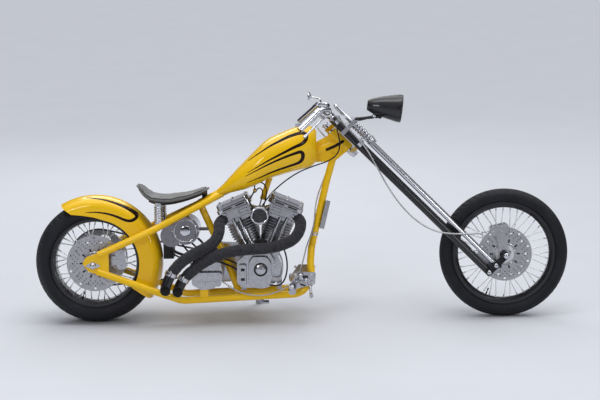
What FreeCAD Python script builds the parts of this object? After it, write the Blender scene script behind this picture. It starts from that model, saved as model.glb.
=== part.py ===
# Long chopper motorcycle with a springer fork, parked leaning on its side stand
import FreeCAD, Part
import math
import os

Vector = FreeCAD.Vector
Placement = FreeCAD.Placement
Rotation = FreeCAD.Rotation
os.makedirs("parts", exist_ok=True)

# The machine is drawn upright: x forward from the rear axle, y to its left, z up from the ground.
# At the end one placement leans it on its stand and puts the origin under its middle.

# Whole machine
wheelbase = 2210.0
lean_angle = 6.0
rake_angle = 45.0
axle_offset = 182.0
turning_fit = 0.05
touch_gap = 0.3
moving_gap = 5.5
overrun = 3.0

# Tyres and rims
rear_tyre_r = 328.6
rear_tyre_w = 200.0
rear_bead_r = 228.6
rear_rim_w = 150.0
rear_crown_r = 128.0
rear_well_depth = 10.6
front_tyre_r = 348.0
front_tyre_w = 92.0
front_bead_r = 266.7
front_rim_w = 60.0
front_crown_r = 50.0
front_well_depth = 19.7
rear_tyre_wall = 12.0
front_tyre_wall = 8.0
rim_wall = 4.0
rim_lip = 11.0

# Hubs, spokes, axles and discs
spoke_count = 40
spoke_r = 2.6
spoke_lace_angle = 62.0
front_hub_half = 62.0
front_hub_r = 25.0
front_flange_r = 44.0
front_flange_y = 38.0
rear_hub_half = 82.0
rear_hub_r = 36.0
rear_flange_r = 58.0
rear_flange_y = 56.0
flange_thick = 7.0
front_axle_r = 10.0
rear_axle_r = 12.7
axle_hollow_r = 6.0
spacer_r = 18.0
front_disc_r = 146.0
rear_disc_r = 152.0
disc_bore_r = 52.0
disc_thick = 5.0
disc_hole_r = 6.0
disc_hole_count = 20

# Belt drive on the left
rear_pulley_r = 155.0
drive_pulley_r = 58.0
belt_width = 28.0
belt_thick = 6.0
belt_y = 126.0
pulley_rim = 12.0
pulley_web = 8.0

# Frame
rail_r = 19.0
spine_r = 25.0
rail_half_width = 164.0
head_tube_r = 29.0
head_tube_low = 995.0
head_tube_high = 1130.0
stem_r = 14.0
frame_bend_r = 95.0
axle_plate_thick = 16.0
gusset_thick = 24.0
cross_tube_r = 15.0

# Springer fork, along the steering axis from the foot opposite the front axle
fork_half_width = 95.0
rear_leg_r = 20.5
rear_leg_n = 54.0
rear_leg_stub = 19.0
front_leg_r = 14.0
front_leg_n = 106.0
front_leg_thin_top = 316.0
front_leg_rod_r = 12.5
bridge_drop = 43.0
spring_n = 114.0
spring_r = 23.0
spring_wire_r = 4.5
spring_turns = 7
spring_half_spread = 62.0
perch_drop = 64.0
cover_length = 120.0
cover_r = 11.0
yoke_thick = 22.0
lower_yoke_gap = 6.0
upper_yoke_gap = 9.0
bearing_cup_r = 24.0
yoke_rim = 8.0
rocker_thick = 14.0
rocker_half_height = 17.0
rocker_pin_r = 8.0

# Handlebar and controls
bar_r = 12.7
bar_clamp_n = 61.0
bar_rise = 63.0
bar_pullback = 143.0
bar_half_width = 355.0
bar_drop = 74.0
grip_r = 16.5
grip_length = 118.0
grip_overhang = 6.0
riser_half_spread = 45.0
riser_r = 17.0

# Headlamp
lamp_x = 1661.0
lamp_z = 1135.0
lamp_r = 75.0
lamp_tail_r = 26.0
lamp_length = 185.0
lamp_tilt = 7.1
lamp_wall = 3.0
lamp_lens_thick = 5.0

# Fender
fender_r = 362.0
fender_half_width = 109.0
fender_skirt_r = 241.0
fender_corner_r = 46.0
fender_wall = 3.0
fender_rear_angle = 120.0
fender_front_angle = -34.0

# Engine: a 45 degree twin, everything along each cylinder's own axis
crank_x = 893.0
crank_z = 290.0
cylinder_angle = 22.5
crankcase_r = 112.0
crankcase_half = 72.0
deck_height = 152.0
barrel_r = 60.0
barrel_top = 284.0
barrel_fin_half = 78.0
barrel_fins = 9
head_top = 352.0
head_fin_half = 84.0
head_fins = 4
fin_thick = 4.0
rocker_box_top = 398.0
rocker_box_length = 196.0
rocker_box_half = 94.0
cam_cover_depth = 44.0
pushrod_r = 9.0

# Gearbox and primary drive
primary_centres = 283.0
gearbox_half = 100.0
gearbox_cover_depth = 34.0
primary_front_r = 96.0
primary_rear_r = 112.0
primary_depth = 66.0

# Exhaust
pipe_r = 28.0
clamp_r = 33.0
clamp_width = 22.0
pipe_wall = 3.0
pipe_slant = 40.0

# Tank, seat and oil tank
tank_length = 524.0
tank_height = 345.0
tank_half_width = 138.0
seat_length = 394.0
seat_height = 105.0
seat_half_width = 155.0
seat_pan_thick = 4.0
seat_spring_r = 24.0
oil_drum_r = 75.0
oil_drum_half = 86.0
oil_lobe_r = 60.0
oil_lobe_half = 80.0
oil_fender_gap = 16.6
oil_lobe_angle = 18.9

# Electrics and forward controls
regulator_length = 150.0
regulator_half_width = 34.0
regulator_fins = 7
post_half = 22.0
control_plate_thick = 12.0
peg_r = 18.0
peg_length = 118.0

# Side stand
stand_pivot_y = 163.0
stand_foot_y = 318.0
stand_leg_r = 10.0
stand_reach = 125.0
stand_foot_length = 74.0
stand_foot_width = 44.0
stand_foot_thick = 8.0

# Places that follow from the sizes above
lean = math.radians(lean_angle)
rake = math.radians(rake_angle)
axle_lift = (rear_crown_r - front_crown_r) * (1 - math.cos(lean)) / math.cos(lean)
ground_lift = front_crown_r * (1 - math.cos(lean))
rear_axle = Vector(0, 0, rear_tyre_r + axle_lift)
front_axle = Vector(wheelbase, 0, front_tyre_r)
fork_forward = Vector(math.sin(rake), 0, math.cos(rake))
fork_up = Vector(-math.cos(rake), 0, math.sin(rake))
fork_foot = front_axle - fork_forward * axle_offset
fork_place = Placement(fork_foot, Rotation(Vector(0, 1, 0), -rake_angle))
neck = fork_foot + fork_up * ((head_tube_low + head_tube_high) / 2)
lower_yoke_h = head_tube_low - lower_yoke_gap - yoke_thick / 2
upper_yoke_h = head_tube_high + upper_yoke_gap + yoke_thick / 2
rear_leg_top = upper_yoke_h + yoke_thick / 2 + rear_leg_stub
spring_bridge_h = lower_yoke_h - bridge_drop
perch_h = upper_yoke_h - perch_drop
cover_top = perch_h + yoke_thick / 2 + cover_length
bar_clamp_h = upper_yoke_h + yoke_thick / 2 + bar_rise
crank_share = 0.6714
crank = Vector(crank_x, 0, crank_z)
gearbox_centre = crank - Vector(primary_centres, 0, 0)


def fork_point(forward, side, height):
    """Point given across, along and up the steering axis."""
    return fork_foot + fork_forward * forward + Vector(0, side, 0) + fork_up * height


def frame_x(share):
    """Place along the frame: the rear part follows the crank, the front part also the neck."""
    if share <= crank_share:
        return share / crank_share * crank_x
    return crank_x + (share - crank_share) / (1 - crank_share) * (neck.x - crank_x)


def frame_point(x_share, y_share, z_share):
    """Point given as shares of the neck's place and of the rear rails' half width."""
    return Vector(frame_x(x_share), y_share * rail_half_width, z_share * neck.z)


def ground_at(side):
    """Height of the leaning machine's ground at a place to the left."""
    return side * math.tan(lean) - ground_lift / math.cos(lean)


def mirrored(shape):
    return shape.mirror(Vector(0, 0, 0), Vector(0, 1, 0))


def joined(shapes):
    """One solid out of pieces that overlap or share faces."""
    first = shapes[0]
    if len(shapes) == 1:
        return first
    return first.multiFuse(shapes[1:]).removeSplitter()


def rod(start, end, radius):
    run = end - start
    return Part.makeCylinder(radius, run.Length, start, run)


def sleeve(start, end, radius, bore):
    return rod(start, end, radius).cut(rod(start, end, bore))


def cone(start, end, first_radius, last_radius):
    run = end - start
    return Part.makeCone(first_radius, last_radius, run.Length, start, run)


def block(low, high):
    size = high - low
    return Part.makeBox(size.x, size.y, size.z, low)


def cross_rod(x, z, first_y, last_y, radius):
    """Round bar across the machine."""
    return rod(Vector(x, first_y, z), Vector(x, last_y, z), radius)


def corner_arc(before, corner, after, radius):
    """Start, middle and end of the arc that rounds a corner."""
    back = (before - corner).normalize()
    ahead = (after - corner).normalize()
    turn = math.pi - back.getAngle(ahead)
    reach = radius * math.tan(turn / 2)
    inward = (back + ahead).normalize()
    depth = radius * (1 / math.cos(turn / 2) - 1)
    return corner + back * reach, corner + inward * depth, corner + ahead * reach


def corner_radius(before, corner, after, limit):
    """Largest radius that both runs leave room for, up to a limit."""
    back = before - corner
    ahead = after - corner
    turn = math.pi - back.getAngle(ahead)
    room = 0.45 * min(back.Length, ahead.Length) / math.tan(turn / 2)
    return min(room, limit)


def route(points, limit):
    """Straight runs joined by tangent arcs."""
    edges = []
    here = points[0]
    for before, corner, after in zip(points, points[1:], points[2:]):
        radius = corner_radius(before, corner, after, limit)
        start, middle, end = corner_arc(before, corner, after, radius)
        edges.append(Part.LineSegment(here, start).toShape())
        edges.append(Part.Arc(start, middle, end).toShape())
        here = end
    edges.append(Part.LineSegment(here, points[-1]).toShape())
    return Part.Wire(edges)


def tube(points, radius, limit):
    """Round bar along a route."""
    path = route(points, limit)
    ring = Part.Wire(Part.makeCircle(radius, points[0], points[1] - points[0]))
    return path.makePipeShell([ring], True, False)


def outline(start, *steps):
    """Closed wire: a step is a straight end point, or a point on an arc and its end."""
    edges = []
    here = start
    for step in steps:
        if isinstance(step, tuple):
            edges.append(Part.Arc(here, step[0], step[1]).toShape())
            here = step[1]
        else:
            edges.append(Part.LineSegment(here, step).toShape())
            here = step
    edges.append(Part.LineSegment(here, start).toShape())
    return Part.Wire(edges)


def rounded_loop(points, limit):
    """Closed outline with every corner rounded."""
    edges = []
    count = len(points)
    arcs = []
    for index in range(count):
        before = points[index - 1]
        corner = points[index]
        after = points[(index + 1) % count]
        radius = corner_radius(before, corner, after, limit)
        arcs.append(corner_arc(before, corner, after, radius))
    for index in range(count):
        start, middle, end = arcs[index]
        edges.append(Part.Arc(start, middle, end).toShape())
        edges.append(Part.LineSegment(end, arcs[(index + 1) % count][0]).toShape())
    return Part.Wire(edges)


def side_plate(points, first_y, last_y, limit):
    """Plate with a side-view outline, between two places across the machine."""
    flat = [Vector(spot.x, first_y, spot.z) for spot in points]
    face = Part.Face(rounded_loop(flat, limit))
    return face.extrude(Vector(0, last_y - first_y, 0))


def turned(wire, centre, axis, angle=360.0):
    """Solid turned from a closed outline."""
    return Part.Face(wire).revolve(centre, axis, angle)


def about_y(profile, centre):
    """Ring about a cross axis, from an outline of radius and side places."""
    spots = [place_about_y(step, centre) for step in profile]
    return turned(outline(spots[0], *spots[1:]), centre, Vector(0, 1, 0))


def place_about_y(step, centre):
    if isinstance(step[0], tuple):
        return tuple(place_about_y(part, centre) for part in step)
    return centre + Vector(step[0], step[1], 0)


def ring_section(middle, half_width, low, high, squareness):
    """Closed smooth cross-section, upright and across the machine."""
    spots = []
    steps = 16
    for index in range(steps):
        angle = 2 * math.pi * index / steps
        side = math.cos(angle)
        rise = math.sin(angle)
        reach = (abs(side) ** squareness + abs(rise) ** squareness) ** (-1 / squareness)
        height = (low + high) / 2 + (high - low) / 2 * rise * reach
        spots.append(Vector(middle, half_width * side * reach, height))
    curve = Part.BSplineCurve()
    curve.interpolate(spots, PeriodicFlag=True)
    return Part.Wire(curve.toShape())


# Wheels

def tyre(centre, outer_r, width, bead_r, rim_w, crown_r, wall):
    """Hollow tyre: crown arc, bulging walls and two beads."""
    bead_y = rim_w / 2 - rim_wall
    shoulder_y = width / 2 * 0.88
    shoulder_r = outer_r - crown_r + math.sqrt(crown_r ** 2 - shoulder_y ** 2)
    lip_r = bead_r + rim_lip
    bulge_r = (lip_r + shoulder_r) / 2
    toe_y = bead_y - 1.6 * wall
    profile = [
        (bead_r, bead_y),
        (lip_r, bead_y),
        ((bulge_r, width / 2), (shoulder_r, shoulder_y)),
        ((outer_r, 0), (shoulder_r, -shoulder_y)),
        ((bulge_r, -width / 2), (lip_r, -bead_y)),
        (bead_r, -bead_y),
        (bead_r, -toe_y),
        (lip_r, -bead_y + wall),
        ((bulge_r, -width / 2 + wall), (shoulder_r - wall / 2, -shoulder_y + wall)),
        ((outer_r - wall, 0), (shoulder_r - wall / 2, shoulder_y - wall)),
        ((bulge_r, width / 2 - wall), (lip_r, bead_y - wall)),
        (bead_r, toe_y),
    ]
    return about_y(profile, centre)


def rim(centre, bead_r, rim_w, well_depth):
    """Rim with two flanges and a dropped middle that takes the spokes."""
    half = rim_w / 2
    well_y = half * 0.45
    well_r = bead_r - well_depth
    profile = [
        (bead_r + rim_lip, half),
        (bead_r - rim_wall, half),
        (well_r, well_y),
        (well_r, -well_y),
        (bead_r - rim_wall, -half),
        (bead_r + rim_lip, -half),
        (bead_r + rim_lip, -half + rim_wall),
        (bead_r, -half + rim_wall),
        (bead_r, -half + 3 * rim_wall),
        (well_r + rim_wall, -well_y),
        (well_r + rim_wall, well_y),
        (bead_r, half - 3 * rim_wall),
        (bead_r, half - rim_wall),
        (bead_r + rim_lip, half - rim_wall),
    ]
    return about_y(profile, centre)


def spoke(centre, hub_r, hub_y, rim_r, rim_y, hub_angle, rim_angle):
    """One straight spoke with a six-sided section."""
    start = centre + Vector(hub_r * math.cos(hub_angle), hub_y, hub_r * math.sin(hub_angle))
    end = centre + Vector(rim_r * math.cos(rim_angle), rim_y, rim_r * math.sin(rim_angle))
    run = end - start
    ring = Part.makePolygon(
        [
            Vector(spoke_r * math.cos(turn), spoke_r * math.sin(turn), 0)
            for turn in [math.radians(60 * corner) for corner in range(7)]
        ]
    )
    bar = Part.Face(ring).extrude(Vector(0, 0, run.Length))
    bar.Placement = Placement(start, Rotation(Vector(0, 0, 1), run))
    return bar


def hub_with_spokes(centre, bore_r, hub_r, half, flange_r, flange_y, rim_r):
    """Hub with two flanges, a disc seat at each end and its laced spokes."""
    inner = flange_y - flange_thick / 2
    outer = flange_y + flange_thick / 2
    seat_y = half - flange_thick
    profile = [
        (bore_r, -half),
        (disc_bore_r * 1.2, -half),
        (disc_bore_r * 1.2, -seat_y),
        (hub_r, -seat_y),
        (hub_r, -outer),
        (flange_r, -outer),
        (flange_r, -inner),
        (hub_r, -inner),
        (hub_r, inner),
        (flange_r, inner),
        (flange_r, outer),
        (hub_r, outer),
        (hub_r, half),
        (bore_r, half),
    ]
    spokes = []
    for index in range(spoke_count):
        side = 1 if index % 2 else -1
        lace = spoke_lace_angle if (index // 2) % 2 else -spoke_lace_angle
        rim_angle = math.radians(360 * index / spoke_count)
        hub_angle = rim_angle + math.radians(lace)
        layer = spoke_r if (index // 2) % 2 else -spoke_r
        start_r = flange_r - 2 * spoke_r
        hub_y = side * (flange_y + layer * 0.4)
        spokes.append(
            spoke(centre, start_r, hub_y, rim_r + overrun, side * flange_thick, hub_angle, rim_angle)
        )
    whole = joined([about_y(profile, centre)] + spokes)
    limit = cross_rod(centre.x, centre.z, centre.y - half, centre.y + half, rim_r)
    return whole.common(limit)


def disc(centre, outer_r, first_y):
    """Drilled brake disc."""
    ring = sleeve(
        centre + Vector(0, first_y, 0), centre + Vector(0, first_y - disc_thick, 0), outer_r, disc_bore_r
    )
    holes = []
    for index in range(disc_hole_count):
        angle = math.radians(360 * index / disc_hole_count)
        reach = outer_r * (0.9 if index % 2 else 0.78)
        spot = centre + Vector(reach * math.cos(angle), 0, reach * math.sin(angle))
        holes.append(
            cross_rod(spot.x, spot.z, first_y + overrun, first_y - disc_thick - overrun, disc_hole_r)
        )
    return ring.cut(Part.makeCompound(holes))


def rear_pulley():
    """Belt pulley with a rim, a web and a boss bolted to the hub's left end."""
    half = belt_width / 2
    web_y = belt_y + pulley_web / 2
    profile = [
        (rear_axle_r + turning_fit, rear_hub_half),
        (disc_bore_r, rear_hub_half),
        (disc_bore_r, belt_y - pulley_web / 2),
        (rear_pulley_r - pulley_rim, belt_y - pulley_web / 2),
        (rear_pulley_r - pulley_rim, belt_y - half),
        (rear_pulley_r, belt_y - half),
        (rear_pulley_r, belt_y + half),
        (rear_pulley_r - pulley_rim, belt_y + half),
        (rear_pulley_r - pulley_rim, web_y),
        (rear_axle_r + turning_fit, web_y),
    ]
    wheel = about_y(profile, rear_axle)
    windows = []
    for index in range(5):
        angle = math.radians(72 * index)
        reach = (rear_pulley_r - pulley_rim + disc_bore_r) / 2
        spot = rear_axle + Vector(reach * math.cos(angle), 0, reach * math.sin(angle))
        windows.append(cross_rod(spot.x, spot.z, belt_y - half, belt_y + half, reach * 0.36))
    return wheel.cut(Part.makeCompound(windows))


# Frame

upper_rail_shares = [(0.0226, 1.0, 0.397), (0.2256, 1.0, 0.518), (0.519, 0.16, 0.7145)]
lower_rail_shares = [
    (0.8782, 0.085, 0.405),
    (0.8722, 0.46, 0.309),
    (0.8812, 0.67, 0.235),
    (0.8308, 0.67, 0.157),
    (0.3534, 0.72, 0.129),
    (0.2594, 1.0, 0.182),
    (0.015, 1.0, 0.3045),
]
axle_plate_shares = [
    (-0.043, 0.352),
    (-0.028, 0.385),
    (0.063, 0.428),
    (0.063, 0.27),
    (-0.018, 0.305),
]
seat_post_shares = [(0.425, 0, 0.66), (0.481, 0, 0.485), (0.53, 0, 0.34), (0.583, 0, 0.143)]
downtube_shares = [(0.975, 0, 0.925), (0.943, 0, 0.772), (0.8868, 0, 0.453), (0.8782, 0, 0.395)]
neck_gusset_shares = [
    (0.887, 0.878),
    (0.895, 0.986),
    (0.987, 1.052),
    (1.046, 0.961),
    (0.979, 0.885),
]
engine_brace_shares = [(0.715, 0, 0.805), (0.681, 0, 0.675)]


def frame_route(shares):
    return [frame_point(*share) for share in shares]


def steering_bore():
    return rod(
        fork_point(0, 0, head_tube_low - overrun), fork_point(0, 0, head_tube_high + overrun),
        stem_r + turning_fit,
    )


def frame_spine():
    """Steering head, gusset, backbone, downtube, seat post and the tubes between the rails."""
    head = rod(fork_point(0, 0, head_tube_low), fork_point(0, 0, head_tube_high), head_tube_r)
    rail_front = frame_point(*upper_rail_shares[-1])
    backbone_start = Vector(rail_front.x - rail_r, 0, rail_front.z)
    backbone_end = fork_point(-stem_r, 0, (head_tube_low + head_tube_high) / 2)
    backbone = rod(backbone_start, backbone_end, spine_r)
    gusset_points = [frame_point(x, 0, z) for x, z in neck_gusset_shares]
    gusset = side_plate(gusset_points, -gusset_thick / 2, gusset_thick / 2, rail_r)
    downtube = tube(frame_route(downtube_shares), rail_r, frame_bend_r)
    post = tube(frame_route(seat_post_shares), rail_r, frame_bend_r)
    foot = frame_point(*seat_post_shares[-1])
    side = lower_rail_shares[3][1] * rail_half_width
    low_cross = cross_rod(foot.x, foot.z, -side, side, cross_tube_r)
    top = frame_point(*seat_post_shares[0])
    rear_cross = rod(Vector(top.x, 0, top.z), backbone_start, rail_r)
    brace = rod(frame_point(*engine_brace_shares[0]), frame_point(*engine_brace_shares[1]), cross_tube_r)
    whole = joined([head, backbone, gusset, downtube, post, low_cross, rear_cross, brace])
    swing = math.hypot(stem_r + yoke_rim, stem_r + yoke_rim) + moving_gap
    low = rod(
        fork_point(0, 0, lower_yoke_h - yoke_thick / 2 - moving_gap), fork_point(0, 0, head_tube_low), swing
    )
    return whole.cut(steering_bore()).cut(low)


def axle_plate():
    """Thick right-hand plate that carries the rear axle."""
    points = [frame_point(x, 0, z) for x, z in axle_plate_shares]
    inner = -rail_half_width + axle_plate_thick / 2
    plate = side_plate(points, inner, inner - axle_plate_thick, axle_plate_thick)
    return plate.cut(cross_rod(0, rear_axle.z, 0, -2 * rail_half_width, rear_axle_r))


def right_half(shape):
    """Largest piece of a shape on the right of the middle plane."""
    half = block(
        Vector(-wheelbase, -2 * rail_half_width, -wheelbase),
        Vector(wheelbase, -touch_gap / 2, wheelbase),
    )
    kept = shape.common(half).cut(cross_rod(0, rear_axle.z, 0, -2 * rail_half_width, rear_axle_r))
    return max(kept.Solids, key=lambda solid: solid.Volume)


def frame_rail(spine, case):
    """Right-hand lower rail with the axle plate and the post under the gearbox."""
    lower = [Vector(spot.x, -spot.y, spot.z) for spot in frame_route(lower_rail_shares)]
    foot = lower[-3]
    start = lower[-4]
    x = gearbox_centre.x - post_half
    rail_z = foot.z + (start.z - foot.z) * (x - foot.x) / (start.x - foot.x)
    post = block(
        Vector(x - post_half, foot.y - rail_r / 2, rail_z),
        Vector(x + post_half, foot.y + 2 * rail_r, gearbox_centre.z),
    ).cut(case)
    post = min(post.Solids, key=lambda solid: solid.BoundBox.ZMin)
    whole = joined([tube(lower, rail_r, frame_bend_r), axle_plate(), post])
    return right_half(whole.cut(spine))


def upper_rail(spine, lower_rail):
    """Right-hand upper rail, from the axle plate to the backbone."""
    upper = [Vector(spot.x, -spot.y, spot.z) for spot in frame_route(upper_rail_shares)]
    return right_half(tube(upper, rail_r, frame_bend_r).cut(spine).cut(lower_rail))


def rear_axle_bar():
    """Hollow axle with a sleeve on each side between hub or pulley and plate."""
    plate_in = rail_half_width - axle_plate_thick / 2
    end = rail_half_width + axle_plate_thick
    bar = cross_rod(0, rear_axle.z, -end, end, rear_axle_r)
    right = cross_rod(0, rear_axle.z, -rear_hub_half - disc_thick - touch_gap, -plate_in, spacer_r)
    left = cross_rod(0, rear_axle.z, belt_y + pulley_web, plate_in, spacer_r)
    whole = joined([bar, right, left])
    return whole.cut(cross_rod(0, rear_axle.z, -end - overrun, end + overrun, axle_hollow_r))


def axle_adjusters():
    """Diamond plates over the axle's ends."""
    outer = rail_half_width + axle_plate_thick / 2
    long_half = 2.4 * spacer_r
    short_half = 1.2 * spacer_r
    points = [
        Vector(-long_half, 0, rear_axle.z),
        Vector(0, 0, rear_axle.z + short_half),
        Vector(long_half, 0, rear_axle.z),
        Vector(0, 0, rear_axle.z - short_half),
    ]
    plate = side_plate(points, -outer, -outer - axle_plate_thick / 3, rear_axle_r / 3)
    plate = plate.cut(cross_rod(0, rear_axle.z, 0, -2 * rail_half_width, rear_axle_r))
    return Part.makeCompound([plate, mirrored(plate)])


# Rear fender

fender_tip_shares = [
    (0.25, 0.618),
    (0, 0.695),
    (-0.16, 0.722),
    (-0.33, 0.737),
    (-0.5, 0.857),
    (-0.8, 0.897),
    (-0.8, 0),
    (0.25, 0),
]


def rear_fender():
    """Pressed fender over the rear wheel with full side panels."""
    side = fender_half_width
    flat_r = fender_r - fender_corner_r
    crown_drop = fender_corner_r / 4
    inner_side = side - fender_wall
    bow = fender_corner_r * (1 - math.sqrt(0.5))
    profile = [
        (fender_skirt_r, side),
        (flat_r - crown_drop, side),
        ((fender_r - crown_drop - bow, side - bow), (fender_r - crown_drop, side - fender_corner_r)),
        ((fender_r, 0), (fender_r - crown_drop, -side + fender_corner_r)),
        ((fender_r - crown_drop - bow, -side + bow), (flat_r - crown_drop, -side)),
        (fender_skirt_r, -side),
        (fender_skirt_r, -inner_side),
        (flat_r - crown_drop, -inner_side),
        (
            (fender_r - crown_drop - bow - fender_wall / 2, -side + bow + fender_wall / 2),
            (fender_r - crown_drop - fender_wall, -side + fender_corner_r),
        ),
        ((fender_r - fender_wall, 0), (fender_r - crown_drop - fender_wall, side - fender_corner_r)),
        (
            (fender_r - crown_drop - bow - fender_wall / 2, side - bow - fender_wall / 2),
            (flat_r - crown_drop, inner_side),
        ),
        (fender_skirt_r, inner_side),
    ]
    spots = [place_about_y(step, rear_axle) for step in profile]
    sweep = fender_rear_angle - fender_front_angle
    shell = turned(outline(spots[0], *spots[1:]), rear_axle, Vector(0, -1, 0), sweep)
    shell.rotate(rear_axle, Vector(0, -1, 0), fender_front_angle)
    cut_points = [rear_axle + Vector(x * fender_r, 0, z * fender_r) for x, z in fender_tip_shares]
    flat = [Vector(spot.x, -2 * side, spot.z) for spot in cut_points]
    loop = Part.makePolygon(flat + [flat[0]])
    shell = shell.cut(Part.Face(loop).extrude(Vector(0, 4 * side, 0)))
    return joined([shell] + fender_mounts())


fender_mount_share = 0.7164


def fender_mounts():
    """Short spacers from the side panels to the upper rails, and a front foot on a cross tube."""
    start = frame_point(*upper_rail_shares[0])
    bend = frame_point(*upper_rail_shares[1])
    x = fender_mount_share * fender_r
    z = start.z + (bend.z - start.z) * (x - start.x) / (bend.x - start.x)
    inner = fender_half_width - fender_wall / 2
    outer = rail_half_width - rail_r - touch_gap
    return [cross_rod(x, z, side * inner, side * outer, rail_r / 2) for side in (-1, 1)]


# Springer fork, drawn upright along its own axis and then raked

def in_fork(shape):
    placed = shape.copy()
    placed.Placement = fork_place.multiply(placed.Placement)
    return placed


def up_rod(forward, side, low, high, radius):
    return rod(Vector(forward, side, low), Vector(forward, side, high), radius)


def fork_yokes():
    """Stem with the two yokes that clamp the rigid legs and the upper spring perch."""
    half = fork_half_width + rear_leg_r + yoke_rim
    back = -stem_r - yoke_rim
    stem = up_rod(0, 0, lower_yoke_h - yoke_thick / 2, upper_yoke_h + yoke_thick, stem_r)
    pieces = [
        stem,
        up_rod(0, 0, lower_yoke_h, head_tube_low - touch_gap, bearing_cup_r),
        up_rod(0, 0, head_tube_high + touch_gap, upper_yoke_h, bearing_cup_r),
    ]
    for height in (lower_yoke_h, upper_yoke_h):
        low = height - yoke_thick / 2
        points = [
            Vector(back, -stem_r - yoke_rim, low),
            Vector(back, stem_r + yoke_rim, low),
            Vector(rear_leg_n, half, low),
            Vector(rear_leg_n + rear_leg_r + yoke_rim, half, low),
            Vector(rear_leg_n + rear_leg_r + yoke_rim, -half, low),
            Vector(rear_leg_n, -half, low),
        ]
        plate = Part.Face(rounded_loop(points, rear_leg_r)).extrude(Vector(0, 0, yoke_thick))
        pieces.append(plate)
    whole = joined(pieces)
    for side in (-1, 1):
        whole = whole.cut(up_rod(rear_leg_n, side * fork_half_width, 0, 2 * rear_leg_top, rear_leg_r))
    return in_fork(whole)


def fork_perch():
    """Upper spring perch clamped across the rigid legs."""
    half = fork_half_width + rear_leg_r + yoke_rim
    low = perch_h - yoke_thick / 2
    back = rear_leg_n - rear_leg_r - yoke_rim / 2
    front = spring_n + spring_r
    plate = block(Vector(back, -half, low), Vector(front, half, low + yoke_thick))
    for side in (-1, 1):
        plate = plate.cut(up_rod(rear_leg_n, side * fork_half_width, 0, 2 * rear_leg_top, rear_leg_r))
        plate = plate.cut(up_rod(spring_n, side * spring_half_spread, 0, 2 * perch_h, cover_r / 2))
    return in_fork(plate)


def fork_rear_legs():
    """Rigid legs from the rocker pins up through both yokes."""
    legs = [
        up_rod(rear_leg_n, side * fork_half_width, -rocker_half_height, rear_leg_top, rear_leg_r)
        for side in (-1, 1)
    ]
    return in_fork(Part.makeCompound(legs))


def fork_front_legs():
    """Sprung legs with thin lower rods, joined under the springs by a bridge."""
    pieces = []
    for side in (-1, 1):
        y = side * fork_half_width
        pieces.append(up_rod(front_leg_n, y, front_leg_thin_top, spring_bridge_h, front_leg_r))
        pieces.append(up_rod(front_leg_n, y, -rocker_half_height, front_leg_thin_top, front_leg_rod_r))
        pieces.append(
            up_rod(spring_n, side * spring_half_spread, spring_bridge_h, perch_h - yoke_thick, cover_r / 2)
        )
    half = fork_half_width + front_leg_r
    thick = yoke_thick * 0.8
    pieces.append(
        block(
            Vector(front_leg_n - front_leg_r, -half, spring_bridge_h - thick / 2),
            Vector(spring_n + spring_r, half, spring_bridge_h + thick / 2),
        )
    )
    return in_fork(joined(pieces))


def coil(forward, side, low, high, radius, wire_r, turns):
    """Round-wire spring as stacked rings on a thin core, ground flat at both ends."""
    pitch = (high - low) / turns
    rings = []
    for index in range(turns):
        middle = low + pitch * (index + 0.5)
        rings.append(Part.makeTorus(radius - wire_r, wire_r, Vector(forward, side, middle)))
    core_out = radius - wire_r
    core = up_rod(forward, side, low, high, core_out).cut(
        up_rod(forward, side, low, high, core_out - wire_r)
    )
    return joined([core] + rings)


def fork_springs():
    bridge_top = spring_bridge_h + yoke_thick * 0.4
    perch_bottom = perch_h - yoke_thick / 2
    springs = [
        coil(spring_n, side * spring_half_spread, bridge_top, perch_bottom, spring_r, spring_wire_r,
             spring_turns)
        for side in (-1, 1)
    ]
    return in_fork(Part.makeCompound(springs))


def fork_covers():
    """Rebound spring covers above the perch."""
    low = perch_h + yoke_thick / 2
    covers = []
    for side in (-1, 1):
        y = side * spring_half_spread
        body = up_rod(spring_n, y, low, cover_top - cover_r, cover_r)
        cap = Part.makeSphere(cover_r, Vector(spring_n, y, cover_top - cover_r))
        covers.append(joined([body, cap]))
    return in_fork(Part.makeCompound(covers))


def fork_rockers():
    """Rocker on the outside of each pair of legs, with its two pins."""
    pieces = []
    inner = fork_half_width + rear_leg_r + touch_gap
    for side in (-1, 1):
        points = [
            Vector(rear_leg_n - rocker_half_height, side * inner, -rocker_half_height),
            Vector(axle_offset + rocker_half_height, side * inner, -rocker_half_height),
            Vector(axle_offset + rocker_half_height, side * inner, rocker_half_height),
            Vector(rear_leg_n - rocker_half_height, side * inner, rocker_half_height),
        ]
        plate = Part.Face(rounded_loop(points, rocker_half_height)).extrude(
            Vector(0, side * rocker_thick, 0)
        )
        axle_hole = rod(
            Vector(axle_offset, 0, 0), Vector(axle_offset, side * 2 * inner, 0), front_axle_r
        )
        pieces.append(plate.cut(axle_hole))
    return in_fork(Part.makeCompound(pieces))


def front_axle_bar():
    """Hollow front axle with its two sleeves."""
    inner = fork_half_width + rear_leg_r + touch_gap
    end = inner + 1.8 * rocker_thick
    bar = cross_rod(front_axle.x, front_axle.z, -end, end, front_axle_r)
    reach = front_hub_half + disc_thick + touch_gap
    sleeves = [
        cross_rod(front_axle.x, front_axle.z, side * reach, side * inner, spacer_r * 0.8)
        for side in (-1, 1)
    ]
    whole = joined([bar] + sleeves)
    return whole.cut(cross_rod(front_axle.x, front_axle.z, -2 * end, 2 * end, axle_hollow_r))


# Handlebar, grips and lamp

handlebar_shares = [
    (0, 0, 0),
    (0.03, 0.42, 0.06),
    (0.1, 0.66, 0.25),
    (-0.245, 0.82, 0.31),
    (-1.0, 1.0, -1.0),
]


def bar_points(side):
    clamp = fork_point(bar_clamp_n, 0, bar_clamp_h)
    return [
        clamp + Vector(x * bar_pullback, side * y * bar_half_width, z * bar_drop)
        for x, y, z in handlebar_shares
    ]


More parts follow.
